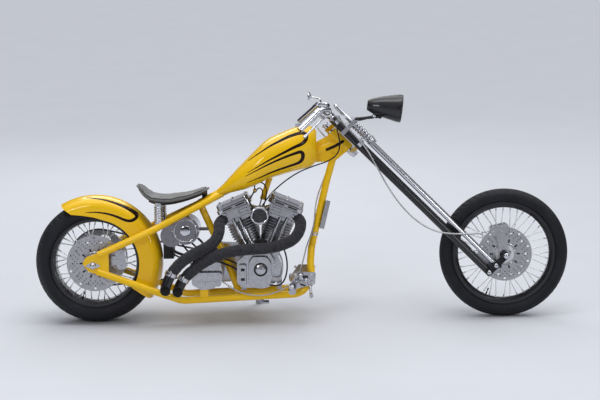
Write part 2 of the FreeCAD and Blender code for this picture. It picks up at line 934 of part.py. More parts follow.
def handlebar(yokes):
    """Pulled-back bar in one piece with two risers on the upper yoke."""
    right = bar_points(-1)
    left = bar_points(1)
    bar = tube(right[::-1] + left[1:], bar_r, bar_clamp_n)
    clamp = fork_point(bar_clamp_n, 0, bar_clamp_h)
    risers = []
    for side in (-1, 1):
        shift = Vector(0, side * riser_half_spread, 0)
        foot = fork_point(rear_leg_n, 0, upper_yoke_h + yoke_thick / 2)
        risers.append(rod(foot + shift, clamp + shift, riser_r))
        risers.append(rod(clamp + shift * 0.6, clamp + shift * 1.4, 1.8 * bar_r))
    return joined([bar] + risers).cut(yokes)


def grip_axis(side):
    """Start and end of a grip on the bar's last straight run."""
    points = bar_points(side)
    run = (points[-1] - points[-2]).normalize()
    return points[-1] - run * grip_length, points[-1]


def grips(bar):
    sleeves = []
    for side in (-1, 1):
        start, end = grip_axis(side)
        run = (end - start).normalize()
        sleeves.append(rod(start, end + run * grip_overhang, grip_r).cut(bar))
    return Part.makeCompound(sleeves)


def lever_front(run):
    """Direction from a grip to its lever."""
    return Vector(-run.z, 0, run.x).normalize() * math.copysign(1, -run.z)


def hand_controls(bar):
    """Lever perch, arm and lever at each grip's inner end."""
    pieces = []
    for side in (-1, 1):
        start, end = grip_axis(side)
        run = (end - start).normalize()
        front = lever_front(run)
        perch = rod(start - run * 2 * grip_r, start - run * touch_gap, 1.15 * grip_r)
        pivot = start - run * grip_r + front * (2.4 * grip_r)
        arm = rod(start - run * grip_r, pivot + front * (grip_r / 2), grip_r * 0.6)
        tip = end + front * (2.6 * grip_r)
        lever = rod(pivot, tip, grip_r / 3)
        knob = rod(tip, tip + (tip - pivot).normalize() * grip_r, grip_r / 2)
        whole = joined([perch, arm, lever, knob]).cut(bar)
        pieces.append(max(whole.Solids, key=lambda solid: solid.Volume))
    return Part.makeCompound(pieces)


mirror_stem_shares = [(-0.2, 0.80, 0.3), (-0.2, 0.82, 0.7), (-0.66, 0.86, 0.9)]
mirror_half_width = 44.0
mirror_half_height = 25.0
mirror_half_depth = 11.0
mirror_stem_r = 5.0
mirror_section_shares = [(-0.6, 0.9), (-0.3, 1.0), (0.3, 0.96), (0.9, 0.72), (1.4, 0.3)]


def mirrors(bar, controls):
    """Small oval mirror on a thin bent stem at the left grip."""
    clamp = fork_point(bar_clamp_n, 0, bar_clamp_h)
    stem = [
        clamp + Vector(x * bar_pullback, y * bar_half_width, z * bar_drop)
        for x, y, z in mirror_stem_shares
    ]
    sections = []
    for depth_share, size_share in mirror_section_shares:
        ring = Part.Ellipse(Vector(0, 0, 0), mirror_half_width * size_share,
                            mirror_half_height * size_share)
        wire = Part.Wire(ring.toShape())
        across = Rotation(Vector(0, 1, 0), Vector(0, 0, 1), Vector(1, 0, 0), "ZXY")
        wire.Placement = Placement(stem[-1] + Vector(depth_share * mirror_half_depth, 0, 0), across)
        sections.append(wire)
    oval = Part.makeLoft(sections, True, True)
    whole = joined([tube(stem, mirror_stem_r, bar_r), oval]).cut(bar).cut(controls)
    return max(whole.Solids, key=lambda solid: solid.Volume)


lamp_profile_shares = [
    (0.0, 1.0),
    (0.07, 1.0),
    (0.2, 0.945),
    (0.39, 0.84),
    (0.6, 0.73),
    (0.75, 0.63),
    (0.9, 0.49),
    (1.0, 0.35),
]


def lamp_axis():
    """Lamp front, and the direction from there to its tail."""
    tilt = math.radians(lamp_tilt)
    return Vector(lamp_x, 0, lamp_z), Vector(-math.cos(tilt), 0, math.sin(tilt))


def headlamp_shell():
    """Bullet shell, open in front."""
    front, back = lamp_axis()
    up = Vector(back.z, 0, -back.x)
    outer = [front + back * (t * lamp_length) + up * (r * lamp_r) for t, r in lamp_profile_shares]
    inner = [
        front + back * (t * (lamp_length - lamp_wall)) + up * (r * lamp_r - lamp_wall)
        for t, r in lamp_profile_shares
    ]
    nose = front + back * lamp_length
    inner_end = front + back * (lamp_length - lamp_wall)
    outer_curve = Part.BSplineCurve()
    outer_curve.interpolate(outer)
    inner_curve = Part.BSplineCurve()
    inner_curve.interpolate(inner[::-1])
    edges = [
        outer_curve.toShape(),
        Part.LineSegment(outer[-1], nose).toShape(),
        Part.LineSegment(nose, inner_end).toShape(),
        Part.LineSegment(inner_end, inner[-1]).toShape(),
        inner_curve.toShape(),
        Part.LineSegment(inner[0], outer[0]).toShape(),
    ]
    return turned(Part.Wire(edges), front, back)


def headlamp_lens():
    front, back = lamp_axis()
    start = front + back * lamp_wall
    return rod(start, start + back * lamp_lens_thick, lamp_r - lamp_wall - touch_gap)


def headlamp_bracket():
    """Two arms from the upper perch to a stud under the lamp."""
    front, back = lamp_axis()
    middle = front + back * (lamp_length * 0.6)
    down = Vector(-back.z, 0, back.x)
    seat = middle + down * (lamp_r * 0.72)
    root = fork_point(spring_n + spring_r, 0, perch_h)
    arms = []
    for side in (-1, 1):
        shift = Vector(0, side * cover_r, 0)
        arms.append(rod(root + shift, seat + shift, cover_r * 0.7))
    knob = rod(seat + Vector(0, -2 * cover_r, 0), seat + Vector(0, 2 * cover_r, 0), cover_r)
    stud = rod(seat, middle + down * (lamp_r * 0.5), cover_r)
    whole = joined(arms + [knob, stud])
    solid_lamp = joined([headlamp_shell(), cone(front, front + back * lamp_length, lamp_r * 0.9,
                                               lamp_tail_r * 0.8)])
    return max(whole.cut(solid_lamp).cut(fork_perch()).Solids, key=lambda solid: solid.Volume)


# Brake calipers

caliper_length = 104.0
caliper_height = 52.0
caliper_half_depth = 28.0
caliper_reach_share = 0.95


def caliper(axle, disc_y, disc_r, angle, reach_share):
    """Caliper straddling a disc, its length along the disc's rim."""
    turn = math.radians(angle)
    outward = Vector(math.cos(turn), 0, math.sin(turn))
    along = Vector(-math.sin(turn), 0, math.cos(turn))
    centre = axle + outward * (disc_r * reach_share) + Vector(0, disc_y, 0)
    corners = [
        centre - along * (caliper_length / 2) - outward * (caliper_height / 2),
        centre + along * (caliper_length / 2) - outward * (caliper_height / 2),
        centre + along * (caliper_length / 2) + outward * (caliper_height / 2),
        centre - along * (caliper_length / 2) + outward * (caliper_height / 2),
    ]
    body = side_plate(corners, disc_y - caliper_half_depth, disc_y + caliper_half_depth,
                      caliper_height / 3)
    slot_half = disc_thick / 2 + moving_gap
    slot = cross_rod(axle.x, axle.z, disc_y - slot_half, disc_y + slot_half, disc_r + moving_gap)
    return body.cut(slot)


front_caliper_angle = 103.0
rear_caliper_angle = 8.0


def front_caliper():
    """Caliper with its anchor plate round the axle and a link to the leg."""
    disc_y = -front_hub_half - disc_thick / 2
    body = caliper(front_axle, disc_y, front_disc_r, front_caliper_angle, caliper_reach_share)
    turn = math.radians(front_caliper_angle)
    outward = Vector(math.cos(turn), 0, math.sin(turn))
    plate_y = disc_y - disc_thick / 2 - moving_gap
    spot = front_axle + outward * (front_disc_r * 0.8)
    half = Vector(spacer_r * 1.4, 0, 0)
    points = [front_axle - half, front_axle + half, spot + half, spot - half]
    arm = side_plate(points, plate_y, plate_y - disc_thick * 1.6, spacer_r * 0.7)
    eye = cross_rod(front_axle.x, front_axle.z, plate_y, plate_y - disc_thick * 1.6, spacer_r * 1.5)
    whole = joined([body, arm, eye])
    whole = whole.cut(cross_rod(front_axle.x, front_axle.z, 0, -wheelbase, spacer_r * 0.8))
    return whole


def rear_caliper():
    """Caliper with its anchor plate between hub and axle plate."""
    disc_y = -rear_hub_half - disc_thick / 2
    body = caliper(rear_axle, disc_y, rear_disc_r, rear_caliper_angle, caliper_reach_share)
    turn = math.radians(rear_caliper_angle)
    outward = Vector(math.cos(turn), 0, math.sin(turn))
    plate_y = disc_y - disc_thick / 2 - moving_gap
    spot = rear_axle + outward * (rear_disc_r * 0.8)
    half = Vector(0, 0, spacer_r * 1.4)
    points = [rear_axle - half, spot - half, spot + half, rear_axle + half]
    arm = side_plate(points, plate_y, plate_y - disc_thick * 1.6, spacer_r * 0.7)
    eye = cross_rod(0, rear_axle.z, plate_y, plate_y - disc_thick * 1.6, spacer_r * 1.5)
    whole = joined([body, arm, eye])
    return whole.cut(cross_rod(0, rear_axle.z, 0, -wheelbase, spacer_r))


# Engine

def bank_place(direction):
    """Placement of one cylinder: its own z runs out along the bore."""
    return Placement(crank, Rotation(Vector(0, 1, 0), direction * cylinder_angle))


def fin(half_x, half_y, low, thick):
    """Square fin with cut corners."""
    corner = half_x / 3
    points = [
        Vector(half_x, -half_y + corner, low),
        Vector(half_x, half_y - corner, low),
        Vector(half_x - corner, half_y, low),
        Vector(-half_x + corner, half_y, low),
        Vector(-half_x, half_y - corner, low),
        Vector(-half_x, -half_y + corner, low),
        Vector(-half_x + corner, -half_y, low),
        Vector(half_x - corner, -half_y, low),
    ]
    return Part.Face(Part.makePolygon(points + [points[0]])).extrude(Vector(0, 0, thick))


def fin_stack(core, low, high, count, half_x, half_y):
    pitch = (high - low) / count
    fins = []
    for index in range(count):
        base = low + pitch * (index + 1) - fin_thick
        room = 0.4 * (base - fin_thick)
        fins.append(fin(min(half_x, room), half_y, base, fin_thick))
    return joined([core] + fins)


def barrel(direction):
    core = Part.makeCylinder(barrel_r, barrel_top - deck_height, Vector(0, 0, deck_height))
    return fin_stack(core, deck_height, barrel_top, barrel_fins, barrel_fin_half, barrel_fin_half)


pushrod_boss_shares = (-0.17, 0.55)


def head(direction):
    """Finned head with a boss on the right that takes the two pushrod tubes."""
    inner = head_fin_half - 2 * fin_thick
    core = Part.makeBox(
        2 * inner, 2 * inner, head_top - barrel_top, Vector(-inner, -inner, barrel_top)
    )
    ends = sorted(share * head_fin_half * direction for share in pushrod_boss_shares)
    boss_low = (barrel_top + head_top) / 2 - 2 * fin_thick
    boss = Part.makeBox(
        ends[1] - ends[0], rocker_box_half, head_top - boss_low, Vector(ends[0], -rocker_box_half, boss_low)
    )
    stack = fin_stack(core, barrel_top, head_top, head_fins, head_fin_half, head_fin_half)
    return joined([stack, boss])


def rocker_box(direction):
    """Rocker cover in two tiers with rounded corners."""
    low = head_top
    middle = head_top + (rocker_box_top - head_top) * 0.45
    corner = rocker_box_half / 3
    tiers = []
    for base, top, share in ((low, middle, 1.0), (middle, rocker_box_top, 0.93)):
        half_x = rocker_box_length / 2 * share
        half_y = rocker_box_half * share
        points = [
            Vector(half_x, -half_y, base),
            Vector(half_x, half_y, base),
            Vector(-half_x, half_y, base),
            Vector(-half_x, -half_y, base),
        ]
        tiers.append(Part.Face(rounded_loop(points, corner)).extrude(Vector(0, 0, top - base)))
    return joined(tiers)


def both_banks(make):
    """The same piece on the front and on the rear cylinder."""
    pieces = []
    for direction in (-1, 1):
        piece = make(direction)
        piece.Placement = bank_place(direction).multiply(piece.Placement)
        pieces.append(piece)
    return pieces


def crankcase(spine):
    """Round case with two cylinder decks and mounting feet."""
    drum = cross_rod(crank.x, crank.z, -crankcase_half, crankcase_half, crankcase_r)
    decks = []
    for direction in (-1, 1):
        half = barrel_r + fin_thick
        deck = Part.makeBox(
            2 * half, 2 * crankcase_half, deck_height, Vector(-half, -crankcase_half, 0)
        )
        deck.Placement = bank_place(direction)
        decks.append(deck)
    foot_low = frame_point(*lower_rail_shares[3]).z + rail_r
    feet = []
    for x_share in (-0.95, 0.75):
        x = crank.x + x_share * crankcase_r
        feet.append(
            block(
                Vector(x, -crankcase_half, foot_low),
                Vector(x + crankcase_r / 4, crankcase_half, crank.z),
            )
        )
    return joined([drum] + decks + feet).cut(spine)


cam_cover_shares = [
    (-1.13, 0.37),
    (-1.15, -0.75),
    (-0.57, -0.9),
    (0.39, -0.91),
    (0.71, 0.34),
    (0.3, 1.0),
    (-0.45, 0.94),
]


def cam_cover():
    """Cam gear cover on the right with a round timing cover and four lifter blocks."""
    points = [crank + Vector(x * crankcase_r, 0, z * crankcase_r) for x, z in cam_cover_shares]
    face_y = -crankcase_half - cam_cover_depth
    plate = side_plate(points, -crankcase_half, face_y, crankcase_r / 4)
    round_cover = cross_rod(crank.x, crank.z, face_y, face_y - cam_cover_depth / 4, crankcase_r * 0.33)
    lifters = [
        rod(start - (end - start) * 0.12, start + (end - start) * 0.22, 1.4 * pushrod_r)
        for start, end in pushrod_lines()
    ]
    return joined([plate, round_cover] + lifters)


def pushrod_lines():
    """Foot and top of each pushrod tube."""
    foot_shares = ((-0.64, 0.97), (-0.34, 1.0), (0.30, 1.0), (0.62, 0.97))
    top_shares = ((-1.3, 2.4), (-1.0, 2.45), (0.98, 2.45), (1.3, 2.4))
    y = -barrel_fin_half - pushrod_r - touch_gap
    lines = []
    for foot, top in zip(foot_shares, top_shares):
        start = crank + Vector(foot[0] * crankcase_r, y, foot[1] * crankcase_r)
        end = crank + Vector(top[0] * crankcase_r, y, top[1] * crankcase_r)
        lines.append((start, end))
    return lines


def pushrod_tubes(cover, heads, barrels):
    tubes = []
    for start, end in pushrod_lines():
        run = end - start
        thin = rod(start + run * 0.2, end, pushrod_r)
        collar = rod(start + run * 0.5, start + run * 0.62, 1.35 * pushrod_r)
        whole = joined([thin, collar]).cut(cover).cut(heads).cut(barrels)
        tubes.append(max(whole.Solids, key=lambda solid: solid.Volume))
    return Part.makeCompound(tubes)


# Intake

air_cleaner_r = 58.0
air_cleaner_depth = 62.0
air_cleaner_rise = 298.0


def air_cleaner():
    """Round air cleaner on the right between the heads."""
    z = crank.z + air_cleaner_rise
    start = -head_fin_half - cam_cover_depth
    return cross_rod(crank.x, z, start, start - air_cleaner_depth, air_cleaner_r * 0.83)


def intake(heads, barrels, covers):
    """Carburettor with a manifold to both heads, reaching out to the air cleaner."""
    z = crank.z + air_cleaner_rise
    start = -head_fin_half - cam_cover_depth
    stub = cross_rod(crank.x, z, start, pipe_r, pipe_r)
    bowl = cross_rod(crank.x, z, start + cam_cover_depth * 0.2, start + cam_cover_depth, pipe_r * 1.25)
    ports = []
    for direction in (-1, 1):
        port = bank_place(direction).multVec(
            Vector(-direction * head_fin_half * 0.8, 0, (barrel_top + head_top) / 2)
        )
        ports.append(rod(Vector(crank.x, 0, z), port, pipe_r * 0.85))
    whole = joined([stub, bowl] + ports).cut(heads).cut(barrels).cut(covers)
    return max(whole.Solids, key=lambda solid: solid.Volume)


# Gearbox and primary drive

gearbox_case_shares = [(-0.76, -0.73), (0.59, -0.86), (0.70, -0.18), (0.59, 0.36), (-0.85, 0.36)]


def gearbox():
    """Gearbox case without its right cover."""
    points = [
        gearbox_centre + Vector(x * primary_rear_r, 0, z * primary_rear_r)
        for x, z in gearbox_case_shares
    ]
    return side_plate(points, -gearbox_half, gearbox_half, cross_tube_r)


gearbox_cover_shares = [
    (-0.80, -0.12),
    (0.70, -0.12),
    (0.66, -0.58),
    (0.25, -0.9),
    (-0.35, -0.95),
    (-0.78, -0.7),
]


def gearbox_cover():
    points = [
        gearbox_centre + Vector(x * primary_rear_r, 0, z * primary_rear_r)
        for x, z in gearbox_cover_shares
    ]
    return side_plate(points, -gearbox_half, -gearbox_half - gearbox_cover_depth, rail_r)


def primary_cover():
    """Closed chain case on the left, round at both ends."""
    start = belt_y + belt_width / 2 + moving_gap
    end = start + primary_depth
    front = cross_rod(crank.x, crank.z, start, end, primary_front_r)
    rear = cross_rod(gearbox_centre.x, gearbox_centre.z, start, end, primary_rear_r)
    top = Vector(0, 0, primary_front_r)
    top_rear = Vector(0, 0, primary_rear_r)
    points = [crank + top, crank - top, gearbox_centre - top_rear, gearbox_centre + top_rear]
    flat = [Vector(spot.x, start, spot.z) for spot in points]
    bridge = Part.Face(Part.makePolygon(flat + [flat[0]])).extrude(Vector(0, primary_depth, 0))
    snout = cross_rod(crank.x, crank.z, crankcase_half, start, primary_front_r * 0.7)
    return joined([front, rear, bridge, snout])


def drive_pulley():
    """Small belt pulley on the gearbox's left end."""
    half = belt_width / 2
    wheel = cross_rod(gearbox_centre.x, gearbox_centre.z, belt_y - half, belt_y + half, drive_pulley_r)
    boss = cross_rod(gearbox_centre.x, gearbox_centre.z, gearbox_half, belt_y, drive_pulley_r / 2)
    return joined([wheel, boss])


def belt_wire(extra):
    """Closed loop round the two pulleys, a given distance outside them."""
    big = rear_pulley_r + extra
    small = drive_pulley_r + extra
    run = gearbox_centre - rear_axle
    span = math.hypot(run.x, run.z)
    slope = math.atan2(run.z, run.x)
    lean_in = math.asin((big - small) / span)
    top = slope + math.pi / 2 - lean_in
    low = slope - math.pi / 2 + lean_in

    def spot(centre, radius, angle):
        return Vector(
            centre.x + radius * math.cos(angle), belt_y - belt_width / 2,
            centre.z + radius * math.sin(angle),
        )

    return Part.Wire([
        Part.Arc(
            spot(rear_axle, big, top), spot(rear_axle, big, slope + math.pi), spot(rear_axle, big, low)
        ).toShape(),
        Part.LineSegment(spot(rear_axle, big, low), spot(gearbox_centre, small, low)).toShape(),
        Part.Arc(
            spot(gearbox_centre, small, low), spot(gearbox_centre, small, slope),
            spot(gearbox_centre, small, top),
        ).toShape(),
        Part.LineSegment(spot(gearbox_centre, small, top), spot(rear_axle, big, top)).toShape(),
    ])


def drive_belt():
    across = Vector(0, belt_width, 0)
    outer = Part.Face(belt_wire(touch_gap + belt_thick)).extrude(across)
    inner = Part.Face(belt_wire(touch_gap)).extrude(across)
    return outer.cut(inner)


# Exhaust: shares of the crank's place for x and z, and of the rear rails' half width for y

rear_pipe_shares = [
    (0.812, -0.24, 1.943),
    (0.752, -0.46, 1.876),
    (0.757, -0.80, 1.738),
    (0.743, -0.98, 1.597),
    (0.698, -1.08, 1.472),
    (0.598, -1.19, 1.328),
    (0.526, -1.27, 1.186),
    (0.473, -1.34, 1.000),
    (0.438, -1.39, 0.786),
    (0.428, -1.41, 0.566),
]
front_pipe_shares = [
    (1.192, -0.24, 1.959),
    (1.245, -0.40, 1.890),
    (1.243, -0.70, 1.738),
    (1.207, -0.92, 1.569),
    (1.135, -1.03, 1.469),
    (1.046, -1.09, 1.417),
    (0.868, -1.12, 1.393),
    (0.752, -1.12, 1.317),
    (0.641, -1.12, 1.141),
    (0.545, -1.14, 0.893),
    (0.508, -1.16, 0.700),
    (0.494, -1.16, 0.520),
]
pipe_clamp_share = 0.12


def exhaust(shares, heads, barrels):
    """Wrapped pipe with a clamp at the wrap's end and a long slash cut that faces outward."""
    points = [Vector(x * crank_x, y * rail_half_width, z * crank_z) for x, y, z in shares]
    last = (points[-1] - points[-2]).normalize()
    run = points[-2] - points[-3]
    middle = points[-3] + run * pipe_clamp_share
    along = Vector(run).normalize() * (clamp_width / 2)
    clamp = rod(middle - along, middle + along, clamp_r)
    bore = tube(
        [points[-3] + run * 0.4, points[-2], points[-1] + last * pipe_r], pipe_r - pipe_wall, neck.x
    )
    slant = math.radians(pipe_slant)
    size = 6 * pipe_r
    cutter = Part.makeBox(size, size, size / 2, Vector(-size / 2, -size / 2, 0))
    normal = last * math.sin(slant) + Vector(0, -1, 0) * math.cos(slant)
    cutter.Placement = Placement(
        points[-1] - last * (pipe_r / math.tan(slant)), Rotation(Vector(0, 0, 1), normal)
    )
    whole = joined([tube(points, pipe_r, neck.x), clamp]).cut(bore).cut(cutter).cut(heads).cut(barrels)
    return max(whole.Solids, key=lambda solid: solid.Volume)


# Fuel tank, seat and oil tank

tank_start_shares = (0.497, 0.7145)
tank_station_shares = [
    (0.0, 0.012, 0.045, 0.30),
    (0.08, 0.03, 0.165, 0.5),
    (0.20, 0.075, 0.36, 0.74),
    (0.34, 0.13, 0.575, 0.93),
    (0.54, 0.265, 0.845, 1.0),
    (0.74, 0.355, 0.975, 0.99),
    (0.89, 0.41, 1.04, 0.86),
    (0.98, 0.455, 1.02, 0.66),
    (1.03, 0.54, 0.95, 0.42),
]


def fuel_tank(rails):
    """Lofted tank that straddles the backbone."""
    start = frame_point(tank_start_shares[0], 0, tank_start_shares[1])
    sections = []
    for along, low, high, wide in tank_station_shares:
        sections.append(
            ring_section(
                start.x + along * tank_length, wide * tank_half_width,
                start.z + low * tank_height - tank_height * 0.05,
                start.z + high * tank_height, 2.5,
            )
        )
    body = Part.makeLoft(sections, True)
    rail_front = frame_point(*upper_rail_shares[-1])
    slot_start = Vector(rail_front.x - rail_r, 0, rail_front.z)
    slot_end = fork_point(-stem_r, 0, (head_tube_low + head_tube_high) / 2)
    run = (slot_end - slot_start).normalize()
    slot_r = spine_r + 2 * overrun
    tunnel = rod(slot_start - run * tank_length, slot_end, slot_r)
    down = Vector(-run.z, 0, run.x) * -1
    depth = tank_height / 2
    corner_low = slot_start - run * tank_length
    points = [corner_low, slot_end, slot_end + down * depth, corner_low + down * depth]
    flat = [Vector(spot.x, -slot_r, spot.z) for spot in points]
    slot = Part.Face(Part.makePolygon(flat + [flat[0]])).extrude(Vector(0, 2 * slot_r, 0))
    neck_half = gusset_thick / 2 + touch_gap
    neck_points = [frame_point(x, 0, z) for x, z in neck_gusset_shares]
    whole = body.cut(tunnel).cut(slot).cut(side_plate(neck_points, -neck_half, neck_half, rail_r))
    for rail in rails:
        whole = whole.cut(rail)
    return max(whole.Solids, key=lambda solid: solid.Volume)


def fuel_cap(tank):
    """Round cap near the top of the tank."""
    start = frame_point(tank_start_shares[0], 0, tank_start_shares[1])
    spot = start + Vector(0.87 * tank_length, 0, 1.02 * tank_height)
    lid = rod(spot - Vector(0, 0, spine_r), spot + Vector(0, 0, spine_r * 0.7), spine_r * 1.15)
    return max(lid.cut(tank).Solids, key=lambda solid: solid.BoundBox.ZMax)


seat_start_shares = (0.170, 0.662)
seat_station_shares = [
    (0.0, 0.90, 1.0, 0.42),
    (0.07, 0.56, 0.92, 0.74),
    (0.19, 0.16, 0.52, 0.95),
    (0.36, 0.0, 0.37, 1.0),
    (0.58, 0.07, 0.42, 0.9),
    (0.80, 0.29, 0.60, 0.66),
    (0.95, 0.53, 0.80, 0.5),
    (1.0, 0.66, 0.86, 0.36),
]


def seat_pad():
    """Dished saddle pad on its pan."""
    start = frame_point(seat_start_shares[0], 0, seat_start_shares[1])
    sections = []
    for along, low, high, wide in seat_station_shares:
        sections.append(
            ring_section(
                start.x + along * seat_length, wide * seat_half_width,
                start.z + low * seat_height + seat_pan_thick,
                start.z + high * seat_height, 2.6,
            )
        )
    return Part.makeLoft(sections, True)


def seat_pan(pad):
    """Thin pan under the pad."""
    start = frame_point(seat_start_shares[0], 0, seat_start_shares[1])
    sections = []
    for along, low, high, wide in seat_station_shares[2:7]:
        sections.append(
            ring_section(
                start.x + along * seat_length, wide * seat_half_width * 0.92,
                start.z + low * seat_height - seat_pan_thick,
                start.z + high * seat_height - seat_pan_thick, 2.6,
            )
        )
    body = Part.makeLoft(sections, True)
    return max(body.cut(pad).Solids, key=lambda solid: solid.Volume)


seat_spring_shares = (0.2647, 0.78)
seat_nose_share = 0.446


def seat_springs(rail, pan, pad):
    """Two coil springs in cups, from the upper rails to the seat pan."""
    x = frame_x(seat_spring_shares[0])
    y = seat_spring_shares[1] * rail_half_width
    bend = frame_point(*upper_rail_shares[1])
    end = frame_point(*upper_rail_shares[2])
    rail_z = bend.z + (end.z - bend.z) * (x - bend.x) / (end.x - bend.x)
    seat_z = seat_start_shares[1] * neck.z
    low = rail_z + rail_r
    high = seat_z - seat_pan_thick
    springs = []
    for side, carrier in ((-1, rail), (1, mirrored(rail))):
        spring = coil(x, side * y, low, high, seat_spring_r, spring_wire_r, spring_turns)
        cup = up_rod(x, side * y, rail_z, low + spring_wire_r, seat_spring_r)
        cap = up_rod(
            x, side * y, high - spring_wire_r, high + seat_height / 2, seat_spring_r - spring_wire_r
        )
        whole = joined([cup, spring, cap]).cut(carrier).cut(pan).cut(pad)
        springs.append(max(whole.Solids, key=lambda solid: solid.Volume))
    return Part.makeCompound(springs)


def seat_nose_bracket(spine, pan, pad):
    """Upright that carries the seat's nose on the frame."""
    x = frame_x(seat_nose_share)
    z = seat_post_shares[0][2] * neck.z
    post = up_rod(x, 0, z, z + seat_height, cross_tube_r)
    whole = post.cut(spine).cut(pan).cut(pad)
    return min(whole.Solids, key=lambda solid: solid.BoundBox.ZMin)


oil_drum_shares = (1.011, 0.363)


def oil_lobe_place():
    """Middle of the oil tank's rear lobe, just in front of the fender."""
    turn = math.radians(oil_lobe_angle)
    reach = fender_r + oil_fender_gap + oil_lobe_r
    return rear_axle + Vector(math.cos(turn), 0, math.sin(turn)) * reach


def oil_tank(spine):
    """Round oil drum between the rails with a smaller lobe behind it, stayed to the seat post."""
    lobe_spot = oil_lobe_place()
    spot = lobe_spot + Vector(oil_drum_shares[0] * oil_drum_r, 0, oil_drum_shares[1] * oil_drum_r)
    drum = cross_rod(spot.x, spot.z, -oil_drum_half, oil_drum_half, oil_drum_r)
    lobe = cross_rod(lobe_spot.x, lobe_spot.z, -oil_lobe_half, oil_lobe_half, oil_lobe_r)
    post = frame_point(*seat_post_shares[1])
    stay = rod(spot, Vector(post.x, 0, spot.z), rail_r / 2)
    return max(joined([drum, lobe, stay]).cut(spine).Solids, key=lambda solid: solid.Volume)


electrics_shares = (-0.77, 0.13, -2.10, -0.65)


def electrics_box(tank):
    """Black box under the oil tank's rear lobe."""
    x_low, x_high, z_low, z_high = [share * oil_lobe_r for share in electrics_shares]
    half = oil_lobe_half * 0.8
    lobe = oil_lobe_place()
    box = block(lobe + Vector(x_low, -half, z_low), lobe + Vector(x_high, half, z_high))
    return max(box.cut(tank).Solids, key=lambda solid: solid.Volume)


def regulator():
    """Finned regulator clipped in front of the downtube."""
    low = frame_point(*downtube_shares[2])
    high = frame_point(*downtube_shares[1])
    run = high - low
    depth = rail_r * 1.3
    base = block(
        Vector(rail_r, -regulator_half_width, 0),
        Vector(rail_r + depth / 3, regulator_half_width, regulator_length),
    )
    fins = []
    for index in range(regulator_fins):
        y = -regulator_half_width + 2 * regulator_half_width * index / regulator_fins
        fins.append(
            block(
                Vector(rail_r + depth / 3, y, 0),
                Vector(rail_r + depth, y + regulator_half_width / regulator_fins, regulator_length),
            )
        )
    whole = joined([base] + fins)
    whole.Placement = Placement(low + run * 0.2, Rotation(Vector(0, 0, 1), run))
    return whole


# Forward controls

control_plate_shares = [
    (0.824, 0.284),
    (0.894, 0.282),
    (0.890, 0.214),
    (0.845, 0.2),
    (0.79, 0.182),
    (0.788, 0.214),
]
peg_shares = (0.8, 0.197)
pedal_shares = [(0.868, 0.225), (0.874, 0.16)]


def forward_control(rail):
    """Right-hand plate on the front rail leg, with a foot peg and a pedal."""
    plate_y = -lower_rail_shares[2][1] * rail_half_width - rail_r
    outline_points = [frame_point(x, 0, z) for x, z in control_plate_shares]
    plate = side_plate(outline_points, plate_y, plate_y - control_plate_thick, control_plate_thick)
    leg = frame_point(*lower_rail_shares[2])
    boss = cross_rod(leg.x, leg.z, -leg.y, plate_y - control_plate_thick, rail_r * 0.7)
    peg_spot = frame_point(peg_shares[0], 0, peg_shares[1])
    neck_end = plate_y - control_plate_thick * 2
    peg_end = neck_end - peg_length
    stub = cross_rod(peg_spot.x, peg_spot.z, plate_y, neck_end, peg_r * 0.5)
    peg = cross_rod(peg_spot.x, peg_spot.z, neck_end, peg_end, peg_r)
    top = frame_point(pedal_shares[0][0], 0, pedal_shares[0][1])
    low = frame_point(pedal_shares[1][0], 0, pedal_shares[1][1])
    arm_y = Vector(0, plate_y - control_plate_thick, 0)
    arm = rod(top + arm_y, low + arm_y * 1.12, peg_r * 0.4)
    pad = cross_rod(low.x, low.z, arm_y.y * 1.08, arm_y.y * 1.08 - peg_length * 0.5, peg_r * 0.6)
    return joined([plate, boss, stub, peg, arm, pad]).cut(rail)


# Held cords: points of each route, chosen by hand

brake_hose_r = 4.0
cable_r = 3.5
brake_hose_route = [
    (1232, -300, 1106),
    (1262, -282, 1117),
    (1292, -245, 1120),
    (1318, -200, 1104),
    (1352, -165, 1063),
    (1390, -144, 1022),
    (1431, -134, 978),
    (1475, -131, 920),
    (1527, -130, 822),
    (1587, -130, 710),
    (1662, -130, 606),
    (1745, -130, 528),
    (1830, -130, 483),
    (1910, -128, 470),
    (1990, -120, 466),
    (2052, -104, 465),
    (2098, -88, 469),
    (2140, -80, 478),
]
throttle_route = [
    (1212, -288, 1122),
    (1250, -262, 1112),
    (1290, -215, 1090),
    (1308, -158, 1058),
    (1316, -97, 1012),
    (1330, -58, 955),
    (1316, -46, 898),
    (1268, -46, 862),
    (1190, -46, 838),
    (1110, -44, 808),
    (1040, -42, 765),
    (975, -42, 712),
    (930, -46, 662),
    (905, -50, 625),
]
clutch_route = [
    (668, -122, 238),
    (705, -128, 214),
    (750, -134, 184),
    (805, -138, 160),
    (865, -140, 150),
    (925, -140, 153),
    (985, -138, 170),
    (1040, -128, 196),
    (1084, -110, 240),
    (1112, -90, 295),
    (1128, -64, 350),
    (1142, -40, 405),
    (1168, -30, 465),
    (1184, -28, 530),
    (1190, -12, 600),
    (1203, 14, 668),
    (1236, 31, 748),
    (1264, 36, 825),
    (1290, 42, 888),
    (1290, 46, 940),
    (1250, 47, 985),
    (1212, 54, 1028),
    (1196, 88, 1066),
    (1200, 145, 1084),
    (1205, 202, 1094),
    (1212, 252, 1100),
    (1226, 288, 1104),
]


def cord(places, radius):
    """Held cord: straight runs joined by arcs as large as the runs allow."""
    points = [Vector(*place) for place in places]
    bends = [corner_radius(*corner, wheelbase) for corner in zip(points, points[1:], points[2:])]
    print("cord bend radii", [round(bend) for bend in bends])
    return tube(points, radius, wheelbase)


def trimmed(shape, others):
    for other in others:
        shape = shape.cut(other)
    return max(shape.Solids, key=lambda solid: solid.Volume)


# Side stand

stand_pivot_shares = (0.575, 0.124)


def stand_pivot():
    return Vector(frame_x(stand_pivot_shares[0]), stand_pivot_y, stand_pivot_shares[1] * neck.z)


